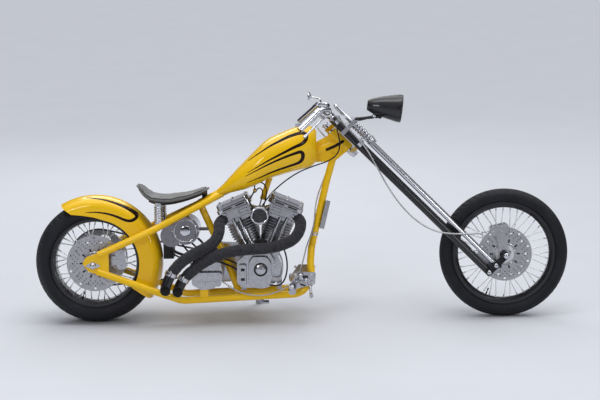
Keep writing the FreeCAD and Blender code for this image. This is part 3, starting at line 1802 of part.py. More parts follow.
def side_stand():
    """Leg on a slanted hinge with a flat foot on the ground."""
    pivot = stand_pivot()
    foot_z = ground_at(stand_foot_y)
    foot = Vector(pivot.x + stand_reach, stand_foot_y, foot_z)
    axis = Vector(0, 1, 1).normalize()
    eye = rod(pivot - axis * stand_leg_r * 1.2, pivot + axis * stand_leg_r * 1.2, stand_leg_r * 1.6)
    leg = rod(pivot, foot + Vector(0, 0, stand_foot_thick), stand_leg_r)
    pad = block(
        Vector(-stand_foot_length / 2, -stand_foot_width / 2, 0),
        Vector(stand_foot_length / 2, stand_foot_width / 2, stand_foot_thick),
    )
    pad.Placement = Placement(foot, Rotation(Vector(1, 0, 0), lean_angle))
    under = block(
        Vector(-wheelbase, -wheelbase, -wheelbase), Vector(wheelbase, wheelbase, 0)
    )
    under.Placement = Placement(foot, Rotation(Vector(1, 0, 0), lean_angle))
    hole = rod(pivot - axis * stand_leg_r * 4, pivot + axis * stand_leg_r * 4, stand_leg_r * 0.6 + turning_fit)
    return joined([eye, leg, pad]).cut(under).cut(hole)


def stand_bracket():
    """Lug on the left rail with the stand's pin."""
    pivot = stand_pivot()
    axis = Vector(0, 1, 1).normalize()
    pin = rod(pivot - axis * stand_leg_r * 2.2, pivot + axis * stand_leg_r * 1.6, stand_leg_r * 0.6)
    plate = rod(
        pivot - axis * stand_leg_r * 2.2, pivot - axis * (stand_leg_r * 1.2 + touch_gap), stand_leg_r * 1.6
    )
    front = frame_point(*lower_rail_shares[3])
    back = frame_point(*lower_rail_shares[4])
    rail_spot = front + (back - front) * ((front.x - pivot.x) / (front.x - back.x))
    lug = rod(rail_spot, pivot - axis * stand_leg_r * 1.8, stand_leg_r)
    eye_room = rod(
        pivot - axis * (stand_leg_r * 1.2 + touch_gap), pivot + axis * stand_leg_r * 3, stand_leg_r * 3
    )
    whole = joined([plate, lug]).cut(eye_room)
    return joined([whole, pin])


# All pieces, upright
pieces = {}
spine = frame_spine()
gear_case = joined([gearbox(), gearbox_cover(), drive_pulley()])
rail_right = frame_rail(spine, gear_case)
upper_right = upper_rail(spine, rail_right)
pieces["frame_spine"] = spine
pieces["frame_rail_right"] = rail_right
pieces["frame_rail_left"] = joined([mirrored(rail_right), stand_bracket().cut(spine)])
pieces["upper_rail_right"] = upper_right
pieces["upper_rail_left"] = mirrored(upper_right)
pieces["rear_axle"] = Part.makeCompound([rear_axle_bar(), axle_adjusters()])
pieces["rear_fender"] = rear_fender()

rear_rim_inner = rear_bead_r - rear_well_depth
front_rim_inner = front_bead_r - front_well_depth
pieces["rear_tyre"] = tyre(
    rear_axle, rear_tyre_r, rear_tyre_w, rear_bead_r, rear_rim_w, rear_crown_r, rear_tyre_wall
)
pieces["rear_rim"] = rim(rear_axle, rear_bead_r, rear_rim_w, rear_well_depth)
pieces["rear_hub_spokes"] = hub_with_spokes(
    rear_axle, rear_axle_r + turning_fit, rear_hub_r, rear_hub_half, rear_flange_r, rear_flange_y,
    rear_rim_inner,
)
pieces["rear_disc"] = disc(rear_axle, rear_disc_r, -rear_hub_half)
pieces["rear_pulley"] = rear_pulley()
pieces["front_tyre"] = tyre(
    front_axle, front_tyre_r, front_tyre_w, front_bead_r, front_rim_w, front_crown_r, front_tyre_wall
)
pieces["front_rim"] = rim(front_axle, front_bead_r, front_rim_w, front_well_depth)
pieces["front_hub_spokes"] = hub_with_spokes(
    front_axle, front_axle_r + turning_fit, front_hub_r, front_hub_half, front_flange_r,
    front_flange_y, front_rim_inner,
)
pieces["front_disc"] = disc(front_axle, front_disc_r, -front_hub_half)

yokes = Part.makeCompound([fork_yokes(), fork_perch()])
pieces["fork_yokes"] = yokes
pieces["fork_rear_legs"] = fork_rear_legs()
pieces["fork_front_legs"] = fork_front_legs()
pieces["fork_springs"] = Part.makeCompound([fork_springs(), fork_covers()])
pieces["fork_rockers"] = fork_rockers()
pieces["front_axle"] = front_axle_bar()
bar = handlebar(yokes)
controls = hand_controls(bar)
pieces["handlebar"] = bar
pieces["grips"] = grips(bar)
pieces["hand_controls"] = controls
pieces["mirrors"] = mirrors(bar, controls)
pieces["headlamp_shell"] = headlamp_shell()
pieces["headlamp_lens"] = headlamp_lens()
pieces["headlamp_bracket"] = headlamp_bracket()
pieces["front_caliper"] = front_caliper()
pieces["rear_caliper"] = rear_caliper()

barrels = Part.makeCompound(both_banks(barrel))
heads = Part.makeCompound(both_banks(head))
covers = Part.makeCompound(both_banks(rocker_box))
pieces["crankcase"] = crankcase(spine)
pieces["cylinders"] = barrels
pieces["cylinder_heads"] = heads
pieces["rocker_boxes"] = covers
pieces["cam_cover"] = cam_cover().cut(barrels)
pieces["pushrod_tubes"] = pushrod_tubes(pieces["cam_cover"], heads, barrels)
pieces["air_cleaner"] = air_cleaner()
pieces["intake"] = intake(heads, barrels, covers)
pieces["gearbox"] = gear_case
pieces["primary_cover"] = primary_cover()
pieces["drive_belt"] = drive_belt()
pieces["exhaust_rear"] = exhaust(rear_pipe_shares, heads, barrels)
pieces["exhaust_front"] = exhaust(front_pipe_shares, heads, barrels)
pieces["fuel_tank"] = fuel_tank([upper_right, pieces["upper_rail_left"]])
pieces["fuel_cap"] = fuel_cap(pieces["fuel_tank"])
pieces["seat_pad"] = seat_pad()
seat_shell = seat_pan(pieces["seat_pad"])
nose_bracket = seat_nose_bracket(spine, seat_shell, pieces["seat_pad"])
pieces["seat_pan"] = joined([seat_shell, nose_bracket])
pieces["seat_springs"] = seat_springs(upper_right, seat_shell, pieces["seat_pad"])
pieces["oil_tank"] = oil_tank(spine)
pieces["electrics"] = Part.makeCompound([electrics_box(pieces["oil_tank"]), regulator().cut(spine)])
right_control = forward_control(rail_right)
pieces["forward_controls"] = Part.makeCompound([right_control, mirrored(right_control)])
pieces["front_brake_hose"] = trimmed(
    cord(brake_hose_route, brake_hose_r), [controls, pieces["front_caliper"]]
)
pieces["throttle_cable"] = trimmed(cord(throttle_route, cable_r), [controls, pieces["intake"]])
pieces["clutch_cable"] = trimmed(
    cord(clutch_route, cable_r), [controls, pieces["gearbox"]]
)
pieces["side_stand"] = side_stand()

# Lean on the stand, then put the origin under the middle
lean_place = Placement(Vector(0, 0, ground_lift), Rotation(Vector(1, 0, 0), -lean_angle))
whole_box = FreeCAD.BoundBox()
for shape in pieces.values():
    leaned = shape.copy()
    leaned.Placement = lean_place.multiply(leaned.Placement)
    whole_box.add(leaned.optimalBoundingBox(False))
middle = Vector(-whole_box.Center.x, -whole_box.Center.y, 0)
row_place = Placement(middle, Rotation()).multiply(lean_place)

for name, shape in pieces.items():
    placed = shape.copy()
    placed.Placement = row_place.multiply(placed.Placement)
    placed.exportStep("parts/" + name + ".step")
    solids = len(placed.Solids)
    print(name, solids, round(placed.Volume), placed.isValid())
print("box", whole_box)
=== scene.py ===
import math

import bmesh
import bpy
import numpy as np
from mathutils import Matrix, Vector
from mathutils.bvhtree import BVHTree


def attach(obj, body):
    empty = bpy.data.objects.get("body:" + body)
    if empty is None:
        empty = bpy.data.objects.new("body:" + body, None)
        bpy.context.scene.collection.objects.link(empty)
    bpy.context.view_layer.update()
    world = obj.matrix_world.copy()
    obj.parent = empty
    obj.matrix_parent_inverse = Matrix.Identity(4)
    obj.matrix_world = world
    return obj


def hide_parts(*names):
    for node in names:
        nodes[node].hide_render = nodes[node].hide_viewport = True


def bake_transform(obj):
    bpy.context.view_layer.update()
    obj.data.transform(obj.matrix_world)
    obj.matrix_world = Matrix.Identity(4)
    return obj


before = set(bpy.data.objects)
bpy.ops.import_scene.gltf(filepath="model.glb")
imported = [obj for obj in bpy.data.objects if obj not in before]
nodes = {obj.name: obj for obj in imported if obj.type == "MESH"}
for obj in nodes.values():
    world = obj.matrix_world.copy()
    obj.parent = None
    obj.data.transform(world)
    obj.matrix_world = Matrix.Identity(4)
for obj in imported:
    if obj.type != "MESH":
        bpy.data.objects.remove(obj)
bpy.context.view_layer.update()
scene = bpy.context.scene

# Shared frame: the upright machine leans six degrees on its stand
lean = math.radians(6)
shift = np.array([-1.1147, -0.109779, 0.000274])

# Main places of the upright machine, in metres: x forward of the rear axle, y left, z up
rear_hub = np.array([0.0, 0.0, 0.32903])
front_hub = np.array([2.21, 0.0, 0.348])
crank = np.array([0.893, 0.0, 0.29])
gearbox_centre = np.array([0.61, 0.0, 0.29])
fork_foot = np.array([2.081307, 0.0, 0.219307])
rake = math.radians(45)
bank = math.radians(22.5)
across = np.array([0.0, 1.0, 0.0])
up = np.array([0.0, 0.0, 1.0])
sides = ((-1, "right"), (1, "left"))
cylinders = ((-1, "rear"), (1, "front"))


def on_bike(points):
    """Leans points of the upright machine and shifts them into the shared frame:
    y turns to y cos(lean) + z sin(lean), and z to z cos(lean) - y sin(lean)."""
    p = np.asarray(points, float)
    x, y, z = p[..., 0], p[..., 1], p[..., 2]
    c, s = math.cos(lean), math.sin(lean)
    return np.stack([x, y * c + z * s, z * c - y * s], -1) + shift


def off_bike(points):
    """The way back: shared frame to upright machine."""
    p = np.asarray(points, float) - shift
    c, s = math.cos(lean), math.sin(lean)
    return np.stack([p[..., 0], p[..., 1] * c - p[..., 2] * s, p[..., 1] * s + p[..., 2] * c], -1)


def leaned(direction):
    """A direction of the upright machine, turned into the shared frame."""
    return Vector(on_bike(direction) - on_bike(across * 0))


def forked(points):
    """Shared-frame places of points that are forward of the steering axis, across, and up along it."""
    p = np.asarray(points, float)
    forward, side, high = p[..., 0], p[..., 1], p[..., 2]
    c, s = math.cos(rake), math.sin(rake)
    return on_bike(np.stack([forward * c - high * s, side, forward * s + high * c], -1) + fork_foot)


# Meshes


def piece(name, points, faces, material, body=None, smooth=True, place=on_bike):
    """A named mesh from points of the upright machine, riding on one body."""
    mesh = bpy.data.meshes.new(name)
    placed = place(np.asarray(points, float).reshape(-1, 3))
    mesh.from_pydata(placed.tolist(), [], [list(map(int, face)) for face in faces])
    mesh.polygons.foreach_set("use_smooth", [smooth] * len(mesh.polygons))
    mesh.materials.append(material)
    mesh.update()
    made = bpy.data.objects.new(name, mesh)
    scene.collection.objects.link(made)
    if body:
        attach(made, body)
    return made


def together(parts):
    """One list of points and one of faces from several (points, faces) pairs."""
    points, faces, count = [], [], 0
    for some_points, some_faces in parts:
        some_points = np.asarray(some_points, float).reshape(-1, 3)
        points.append(some_points)
        faces += [[int(corner) + count for corner in face] for face in some_faces]
        count += len(some_points)
    return np.concatenate(points), faces


def faced_out(made):
    """Turns the faces of each closed shell in a mesh outwards."""
    work = bmesh.new()
    work.from_mesh(made.data)
    bmesh.ops.recalc_face_normals(work, faces=work.faces)
    work.to_mesh(made.data)
    work.free()


def fitting(name, parts, finish, body, smooth=True, place=on_bike):
    """One piece from several closed (points, faces) parts, with its faces outwards."""
    points, faces = together(parts)
    made = piece(name, points, faces, finish.material, body, smooth, place)
    faced_out(made)
    return made


def grid_faces(rows, columns, wrap_rows=False, wrap_columns=False):
    """Quads between each four neighbours of a grid, joined end to end where it wraps."""
    r = np.arange(rows if wrap_rows else rows - 1)
    c = np.arange(columns if wrap_columns else columns - 1)
    r, c = [part.ravel() for part in np.meshgrid(r, c, indexing="ij")]
    r2, c2 = (r + 1) % rows, (c + 1) % columns
    return np.stack([r * columns + c, r * columns + c2, r2 * columns + c2, r2 * columns + c], -1)


def tube_faces(count, around):
    """Quads between closed rings of points, and a flat cap on the first and the last ring."""
    faces = grid_faces(count, around, False, True).tolist()
    faces.append(list(range(around)))
    faces.append([(count - 1) * around + corner for corner in range(around)][::-1])
    return faces


def facing(direction):
    """Two unit vectors square to a direction, and the direction itself, right-handed."""
    d = np.asarray(direction, float)
    d = d / np.linalg.norm(d)
    side = np.cross(d, up if abs(d[2]) < 0.9 else across)
    side = side / np.linalg.norm(side)
    return side, np.cross(d, side), d


def turned(profile, centre, direction, steps=48, closed=False):
    """Profile of (radius, distance along the axis) carried round an axis. An open profile
    has its ends closed with flat caps."""
    side, other, along = facing(direction)
    profile = np.asarray(profile, float)
    turn = np.linspace(0, 2 * math.pi, steps, endpoint=False)
    ring = np.cos(turn)[:, None] * side + np.sin(turn)[:, None] * other
    grid = np.asarray(centre) + ring[:, None, :] * profile[None, :, :1] + along * profile[None, :, 1:]
    faces = grid_faces(steps, len(profile), True, closed).tolist()
    if not closed:
        last = len(profile) - 1
        faces.append([row * len(profile) for row in range(steps)])
        faces.append([row * len(profile) + last for row in range(steps)][::-1])
    return grid.reshape(-1, 3), faces


def ringed(centre, direction, radius, wire, steps=64, around=12):
    """Torus: a circle of wire radius carried round an axis."""
    turn = np.linspace(0, 2 * math.pi, around, endpoint=False)
    profile = np.stack([radius + wire * np.cos(turn), wire * np.sin(turn)], -1)
    return turned(profile, centre, direction, steps, closed=True)


def round_about(centre, radius, degrees):
    """Places on an upright circle about a centre, at angles from straight ahead."""
    turn = np.radians(degrees)
    return np.asarray(centre) + radius * np.stack([np.cos(turn), turn * 0, np.sin(turn)], -1)


def rounded(points, steps):
    """Smooth line through a route: quadratic curves from each run's middle to the next."""
    p = np.asarray(points, float)
    middle = (p[1:] + p[:-1]) / 2
    starts = np.concatenate([p[:1], middle[1:-1]])
    ends = np.concatenate([middle[1:-1], p[-1:]])
    t = np.linspace(0, 1, steps, endpoint=False)[:, None]
    line = [
        (1 - t) ** 2 * start + 2 * t * (1 - t) * corner + t ** 2 * end
        for start, corner, end in zip(starts, p[1:-1], ends)
    ]
    return np.concatenate(line + [p[-1:]])


def evenly(line, count):
    """The same line with points at equal distances."""
    steps = np.linalg.norm(np.diff(line, axis=0), axis=1)
    far = np.concatenate([[0], np.cumsum(steps)])
    want = np.linspace(0, far[-1], count)
    return np.stack([np.interp(want, far, values) for values in line.T], -1)


def arced(points, share=0.45, steps=9):
    """Straight runs joined by tangent arcs; each arc takes a share of its shorter run."""
    p = [np.asarray(point, float) for point in points]
    line = [p[0]]
    for before, corner, after in zip(p, p[1:], p[2:]):
        back, ahead = before - corner, after - corner
        reach = share * min(np.linalg.norm(back), np.linalg.norm(ahead))
        back, ahead = back / np.linalg.norm(back), ahead / np.linalg.norm(ahead)
        half = math.acos(max(-1.0, min(1.0, float(back @ ahead)))) / 2
        inward = (back + ahead) / np.linalg.norm(back + ahead)
        centre = corner + inward * reach / math.cos(half)
        radius = reach * math.tan(half)
        bend = math.pi / 2 - half
        side = (ahead - back) / np.linalg.norm(ahead - back)
        for turn in np.linspace(-bend, bend, steps):
            line.append(centre + radius * (side * math.sin(turn) - inward * math.cos(turn)))
    line.append(p[-1])
    return np.array(line)


def followed(line):
    """Frame carried along a line without twist: distances, points and two cross directions."""
    ahead = np.gradient(line, axis=0)
    ahead /= np.linalg.norm(ahead, axis=1)[:, None]
    first = facing(ahead[0])[0]
    sideways = []
    for direction in ahead:
        first = first - direction * (direction @ first)
        first = first / np.linalg.norm(first)
        sideways.append(first)
    sideways = np.array(sideways)
    far = np.concatenate([[0], np.cumsum(np.linalg.norm(np.diff(line, axis=0), axis=1))])
    return far, line, sideways, np.cross(ahead, sideways)


def piped(line, radius, around=16):
    """A round section carried along a line without twist."""
    _, line, sideways, upwards = followed(np.asarray(line, float))
    turn = np.linspace(0, 2 * math.pi, around, endpoint=False)[None, :, None]
    grid = line[:, None] + radius * (np.cos(turn) * sideways[:, None] + np.sin(turn) * upwards[:, None])
    return grid.reshape(-1, 3), tube_faces(len(line), around)


def spiral(frames, start, end, pitch, section, steps):
    """A closed section carried round and along a line as a helix. It holds (distance
    along, radius) pairs, and each turn of so many steps moves it one pitch on."""
    count = int((end - start) / pitch * steps)
    section = np.asarray(section, float)
    turn = (np.arange(count + 1) * 2 * math.pi / steps)[:, None, None]
    along = start + np.arange(count + 1)[:, None] * pitch / steps + section[None, :, 0]
    along = np.clip(along, 0, frames[0][-1])
    middle, sideways, upwards = (
        np.stack([np.interp(along, frames[0], values[:, axis]) for axis in range(3)], -1)
        for values in frames[1:]
    )
    grid = middle + (np.cos(turn) * sideways + np.sin(turn) * upwards) * section[None, :, 1:]
    return grid.reshape(-1, 3), tube_faces(count + 1, len(section))


def coiled(centre, direction, low, high, radius, wire, turns, around=10, steps=28):
    """Round wire wound as a helix about an axis, nearly flat over its first and last turn."""
    side, other, along = facing(direction)
    t = np.linspace(0, 1, int(turns * steps) + 1)
    turn = (2 * math.pi * turns * t)[:, None]
    flat_share = 0.75 / turns
    climb = np.clip((t - flat_share) / (1 - 2 * flat_share), 0, 1)
    climb = 0.12 * t + 0.88 * (0.35 * climb * climb * (3 - 2 * climb) + 0.65 * climb)
    level = (low + wire + (high - low - 2 * wire) * climb)[:, None]
    line = np.asarray(centre) + radius * (np.cos(turn) * side + np.sin(turn) * other) + level * along
    return piped(line, wire, around)


def stamped(template, places, directions):
    """Copies of a (points, faces) template with its z along each direction."""
    points, faces = template
    copies = []
    for place, direction in zip(places, directions):
        copies.append((np.asarray(place) + points @ np.array(facing(direction)), faces))
    return together(copies)


def bolts(name, places, direction, radius, height, finish, body, place=on_bike):
    """Bolt heads at places, all one way: washer, six flats and a small domed top, each ring
    drawn as radius times 1 - 0.07 (1 + cos 6 turn) where the flats are."""
    turn = np.linspace(0, 2 * math.pi, 12, endpoint=False)
    flat = 1 - 0.07 * (1 + np.cos(turn * 6))
    washer = [(1.35, 0.0), (1.35, 0.18)]
    head = [(1.0, 0.18), (1.0, 0.82), (0.82, 1.0)]
    rings = [(share * turn ** 0, level) for share, level in washer]
    rings += [(share * flat, level) for share, level in head]
    rings.append((0.25 * turn ** 0, 1.06))
    grid = np.array([
        np.stack([wide * radius * np.cos(turn), wide * radius * np.sin(turn), turn * 0 + level * height], -1)
        for wide, level in rings
    ])
    faces = grid_faces(len(rings), 12, False, True)[:, ::-1].tolist()
    faces.append([(len(rings) - 1) * 12 + corner for corner in range(12)])
    points, faces = stamped((grid.reshape(-1, 3), faces), places, [direction] * len(places))
    piece(name, points, faces, finish.material, body, False, place)


def panel(outline, y, rise, edge):
    """Raised plate facing right: an (x, z) outline drawn in towards its middle over a
    rounded edge."""
    shape = np.asarray(outline, float)
    middle = shape.mean(0)
    size = np.linalg.norm(shape - middle, axis=1).mean()
    rings = [(shape, y + 0.001)]
    for turn in np.linspace(0, math.pi / 2, 5):
        inset = edge * (1 - math.cos(turn)) / size
        rings.append((middle + (shape - middle) * (1 - inset), y - (rise - edge + edge * math.sin(turn))))
    grid = np.array([np.stack([ring[:, 0], ring[:, 0] * 0 + level, ring[:, 1]], -1) for ring, level in rings])
    return grid.reshape(-1, 3), tube_faces(len(grid), len(shape))


def corners(points, reach, steps=6):
    """Closed (x, z) outline with each corner rounded by a curve that starts reach from it."""
    p = [np.asarray(point, float) for point in points]
    line = []
    for before, corner, after in zip(p[-1:] + p[:-1], p, p[1:] + p[:1]):
        a = corner + (before - corner) / np.linalg.norm(before - corner) * reach
        b = corner + (after - corner) / np.linalg.norm(after - corner) * reach
        for t in np.linspace(0, 1, steps):
            line.append((1 - t) ** 2 * a + 2 * t * (1 - t) * corner + t * t * b)
    return np.array(line)


def oblong(centre, half_x, half_z, reach, tilt=0.0):
    """Rounded (x, z) rectangle, turned by a tilt about its middle."""
    c, s = math.cos(tilt), math.sin(tilt)
    square = [(-half_x, -half_z), (half_x, -half_z), (half_x, half_z), (-half_x, half_z)]
    return corners([(centre[0] + x * c - z * s, centre[1] + x * s + z * c) for x, z in square], reach)


def tree_of(mesh):
    """Search tree of a mesh's faces, for rays."""
    return BVHTree.FromPolygons([vertex.co.copy() for vertex in mesh.vertices],
                                [tuple(face.vertices) for face in mesh.polygons])


def places_of(mesh):
    """All vertices of a mesh as one array."""
    flat = np.zeros(len(mesh.vertices) * 3)
    mesh.vertices.foreach_get("co", flat)
    return flat.reshape(-1, 3)


def faces_of(mesh, value):
    """One vector of each face, its center or its normal, as one array."""
    flat = np.zeros(len(mesh.polygons) * 3)
    mesh.polygons.foreach_get(value, flat)
    return flat.reshape(-1, 3)


# Finishes


SOCKETS = {
    "coat": "Coat Weight",
    "coat_rough": "Coat Roughness",
    "sheen": "Sheen Weight",
    "sheen_rough": "Sheen Roughness",
    "clear": "Transmission Weight",
    "bend": "IOR",
    "shine": "Specular IOR Level",
}


class Finish:
    """One material: a shader and the nodes that give it its grain, colour and gloss."""

    def __init__(self, name, colour, metal=0.0, rough=0.5, **sockets):
        self.material = bpy.data.materials.new(name)
        self.material.use_nodes = True
        self.tree = self.material.node_tree
        self.shader = self.tree.nodes["Principled BSDF"]
        self.colour = np.array(colour)
        self.rough = rough
        self.height = None
        self.shader.inputs["Base Color"].default_value = (*colour, 1.0)
        self.shader.inputs["Metallic"].default_value = metal
        self.shader.inputs["Roughness"].default_value = rough
        for socket, value in sockets.items():
            self.shader.inputs[SOCKETS[socket]].default_value = value
        self.place = self.tree.nodes.new("ShaderNodeTexCoord").outputs["Object"]

    def add(self, kind, wires, values=()):
        """A node of one kind, with its sockets wired or set."""
        node = self.tree.nodes.new(kind)
        for socket, value in dict(values).items():
            node.inputs[socket].default_value = value
        for socket, source in wires.items():
            self.tree.links.new(source, node.inputs[socket])
        return node

    def noise(self, scale, detail):
        """Soft noise over the piece's own space, from 0 to 1."""
        values = {"Scale": scale, "Detail": detail}
        return self.add("ShaderNodeTexNoise", {"Vector": self.place}, values).outputs["Fac"]

    def mottled(self, scale, amount):
        """Colour that drifts a little lighter and darker."""
        node = self.add("ShaderNodeValToRGB", {"Fac": self.noise(scale, 5.0)})
        for element, place, share in zip(node.color_ramp.elements, (0.3, 0.7), (1 - amount, 1 + amount)):
            element.position = place
            element.color = (*(self.colour * share), 1.0)
        self.tree.links.new(node.outputs["Color"], self.shader.inputs["Base Color"])
        return self

    def worn(self, scale, amount):
        """Gloss that varies round the stated roughness."""
        values = {1: amount * 2, 2: self.rough - amount}
        node = self.add("ShaderNodeMath", {0: self.noise(scale, 6.0)}, values)
        node.operation = "MULTIPLY_ADD"
        self.tree.links.new(node.outputs[0], self.shader.inputs["Roughness"])
        return self

    def grain(self, scale, depth, strength, cells=False):
        """Relief in metres of depth, from noise or from small cells, over what was there."""
        if cells:
            node = self.add("ShaderNodeTexVoronoi", {"Vector": self.place}, {"Scale": scale})
            wires = {"Height": node.outputs["Distance"]}
        else:
            wires = {"Height": self.noise(scale, 3.0)}
        if self.height is not None:
            wires["Normal"] = self.height
        bump = self.add("ShaderNodeBump", wires, {"Distance": depth, "Strength": strength})
        self.height = bump.outputs["Normal"]
        self.tree.links.new(self.height, self.shader.inputs["Normal"])
        return self


yellow = Finish("yellow_lacquer", (0.93, 0.56, 0.002), rough=0.4, coat=0.6, coat_rough=0.04, shine=0.15)
yellow.mottled(3.5, 0.05).worn(26, 0.05).grain(420, 0.00004, 0.35)
stripe = Finish("stripe_lacquer", (0.012, 0.0035, 0.003), rough=0.45, coat=0.15, coat_rough=0.1, shine=0.1)
stripe.worn(40, 0.05).grain(420, 0.00004, 0.3)
gloss_black = Finish("gloss_black", (0.006, 0.006, 0.009), rough=0.35, coat=0.6, coat_rough=0.05, shine=0.3)
gloss_black.worn(30, 0.08).grain(500, 0.00003, 0.3)
satin_black = Finish("satin_black", (0.009, 0.009, 0.011), rough=0.45, shine=0.35)
satin_black.worn(60, 0.1).grain(900, 0.00005, 0.5)
chrome = Finish("chrome", (0.6, 0.61, 0.65), metal=1.0, rough=0.11)
chrome.worn(18, 0.05).mottled(6, 0.05)
polished = Finish("polished_alloy", (0.5, 0.5, 0.53), metal=1.0, rough=0.2)
polished.mottled(55, 0.1).worn(60, 0.08).grain(700, 0.00006, 0.35)
cast = Finish("cast_alloy", (0.33, 0.33, 0.35), metal=1.0, rough=0.34)
cast.mottled(90, 0.15).worn(90, 0.1).grain(1300, 0.0002, 0.6)
steel = Finish("spoke_steel", (0.82, 0.82, 0.84), metal=1.0, rough=0.38)
steel.worn(50, 0.08)
bright_steel = Finish("bright_steel", (0.93, 0.93, 0.95), metal=0.75, rough=0.5)
bright_steel.mottled(60, 0.08).worn(40, 0.05)
brushed = Finish("brushed_steel", (0.5, 0.5, 0.53), metal=1.0, rough=0.36)
brushed.mottled(60, 0.12).worn(200, 0.12).grain(1800, 0.00005, 0.5)
smoked = Finish("smoked_chrome", (0.26, 0.25, 0.27), metal=1.0, rough=0.14)
smoked.mottled(40, 0.12).worn(30, 0.06)
rubber = Finish("tyre_rubber", (0.0085, 0.009, 0.013), rough=0.62, shine=0.3)
rubber.mottled(11, 0.35).worn(30, 0.12).grain(1500, 0.0002, 0.5)
soft_black = Finish("soft_rubber", (0.009, 0.009, 0.01), rough=0.55, shine=0.3)
soft_black.worn(60, 0.1).grain(1200, 0.0001, 0.5)
leather = Finish("saddle_leather", (0.02, 0.02, 0.021), rough=0.42, coat=0.25, coat_rough=0.3,
                 sheen=0.3, sheen_rough=0.4)
leather.mottled(30, 0.3).worn(45, 0.12).grain(520, 0.0009, 0.7, cells=True).grain(150, 0.0006, 0.4)
# Lighter grey leather for the saddle's top panel: a painted sheen, the light caught on the top
saddle_painted_sheen = Finish("saddle_painted_sheen", (0.06, 0.06, 0.063), rough=0.36, coat=0.3, coat_rough=0.3,
                    sheen=0.5, sheen_rough=0.35)
saddle_painted_sheen.mottled(24, 0.25).worn(45, 0.1).grain(520, 0.0008, 0.6, cells=True).grain(150, 0.0005, 0.4)
thread = Finish("seat_thread", (0.05, 0.05, 0.05), rough=0.7)
thread.mottled(300, 0.3).grain(3000, 0.0003, 0.6)
wrap = Finish("heat_wrap", (0.034, 0.034, 0.04), rough=0.85, sheen=0.12, shine=0.2)
wrap.mottled(60, 0.35).grain(900, 0.0008, 0.8, cells=True).grain(1600, 0.0003, 0.5)
braid = Finish("steel_braid", (0.55, 0.55, 0.57), metal=1.0, rough=0.33)
braid.grain(1400, 0.0006, 0.9, cells=True).mottled(400, 0.2)
gauze = Finish("dark_gauze", (0.07, 0.07, 0.075), metal=0.8, rough=0.45)
gauze.grain(520, 0.0014, 1.0, cells=True).mottled(120, 0.4)
brass = Finish("brass", (0.62, 0.42, 0.15), metal=1.0, rough=0.25)
brass.mottled(40, 0.15).worn(80, 0.1)
lens = Finish("lens_glass", (0.9, 0.94, 0.97), rough=0.03, clear=1.0, bend=1.5)
lens.grain(60, 0.0005, 0.2)
reflector = Finish("reflector", (0.85, 0.86, 0.88), metal=1.0, rough=0.06)
reflector.worn(25, 0.03)
# Near-black for painted shade in the pipe bores, slots and disc holes, and for the dark seams of the rocker
# boxes
seam_and_shade = Finish("seam_and_shade_black", (0.02, 0.019, 0.018), rough=0.9)
seam_and_shade.mottled(50, 0.3)
concrete = Finish("studio_floor", (0.62, 0.64, 0.68), rough=0.6, shine=0.0)
concrete.mottled(2.2, 0.012).worn(3, 0.05)


def paint(node, finish, *others):
    """Gives a CAD node its finish. Each other entry is a finish and a mask of the faces
    that take it."""
    mesh = nodes[node].data
    mesh.materials.clear()
    mesh.materials.append(finish.material)
    index = np.zeros(len(mesh.polygons), int)
    for number, (other, mask) in enumerate(others):
        mesh.materials.append(other.material)
        index[mask] = number + 1
    mesh.polygons.foreach_set("material_index", index)


for names, finish in (
    (("frame_spine", "frame_rail_right", "frame_rail_left", "rear_fender", "fuel_tank"), yellow),
    (("upper_rail_right", "upper_rail_left"), yellow),
    (("rear_tyre", "front_tyre"), rubber),
    (("rear_rim", "front_rim", "fork_rear_legs", "headlamp_shell", "headlamp_bracket"), gloss_black),
    (("fork_front_legs", "handlebar", "hand_controls", "mirrors", "fuel_cap", "grips"), chrome),
    (("front_axle", "pushrod_tubes", "seat_springs", "side_stand", "rear_axle"), chrome),
    (("fork_yokes", "fork_springs"), chrome),
    (("rocker_boxes", "cam_cover", "primary_cover", "rear_caliper", "front_caliper"), polished),
    (("crankcase", "cylinder_heads", "intake", "gearbox", "forward_controls"), polished),
    (("rear_hub_spokes", "front_hub_spokes"), bright_steel),
    (("rear_disc", "front_disc", "rear_pulley"), brushed),
    (("fork_rockers", "seat_pan"), satin_black),
    (("cylinders",), cast),
    (("drive_belt", "throttle_cable"), soft_black),
    (("clutch_cable", "front_brake_hose"), braid),
    (("seat_pad",), leather),
    (("headlamp_lens",), lens),
    (("oil_tank",), smoked),
    (("air_cleaner",), gauze),
):
    for name in names:
        paint(name, finish)

# Of the electrics only the regulator lies ahead of this place
regulator_x = 1.0
box_middles = off_bike(faces_of(nodes["electrics"].data, "center"))
paint("electrics", satin_black, (polished, box_middles[:, 0] > regulator_x))

# Painted stripes, laid on the panels of both sides, as (x, z, width)

tank_upper_loop = [
    (0.8339, 0.8718, 0.0022), (0.8675, 0.8961, 0.0038), (0.9124, 0.9265, 0.0065), (0.9572, 0.9549, 0.0092),
    (1.002, 0.9763, 0.0119), (1.0468, 0.9982, 0.0141), (1.0845, 1.0111, 0.0152), (1.1184, 1.0192, 0.0163),
    (1.1414, 1.0168, 0.0179), (1.1503, 1.0011, 0.0195), (1.143, 0.9792, 0.0201), (1.1284, 0.9649, 0.0195),
    (1.1084, 0.955, 0.0174), (1.0815, 0.9452, 0.0152), (1.0367, 0.9227, 0.013), (0.9833, 0.8967, 0.0109),
    (0.9293, 0.8684, 0.0076), (0.8801, 0.8401, 0.0049), (0.8288, 0.8097, 0.0022),
]
tank_lower_loop = [
    (0.8176, 0.791, 0.0022), (0.8667, 0.8171, 0.0049), (0.9292, 0.8495, 0.0081), (0.9917, 0.8776, 0.0109),
    (1.0455, 0.8988, 0.013), (1.0902, 0.9137, 0.0152), (1.1165, 0.9214, 0.0174), (1.1286, 0.909, 0.0195),
    (1.1278, 0.8865, 0.0195), (1.1179, 0.8679, 0.0185), (1.098, 0.8569, 0.0152), (1.0582, 0.8446, 0.0125),
    (1.0093, 0.8297, 0.0109), (0.9555, 0.8101, 0.0087), (0.9022, 0.7867, 0.0065), (0.8575, 0.7696, 0.0043),
    (0.8263, 0.7556, 0.0022),
]
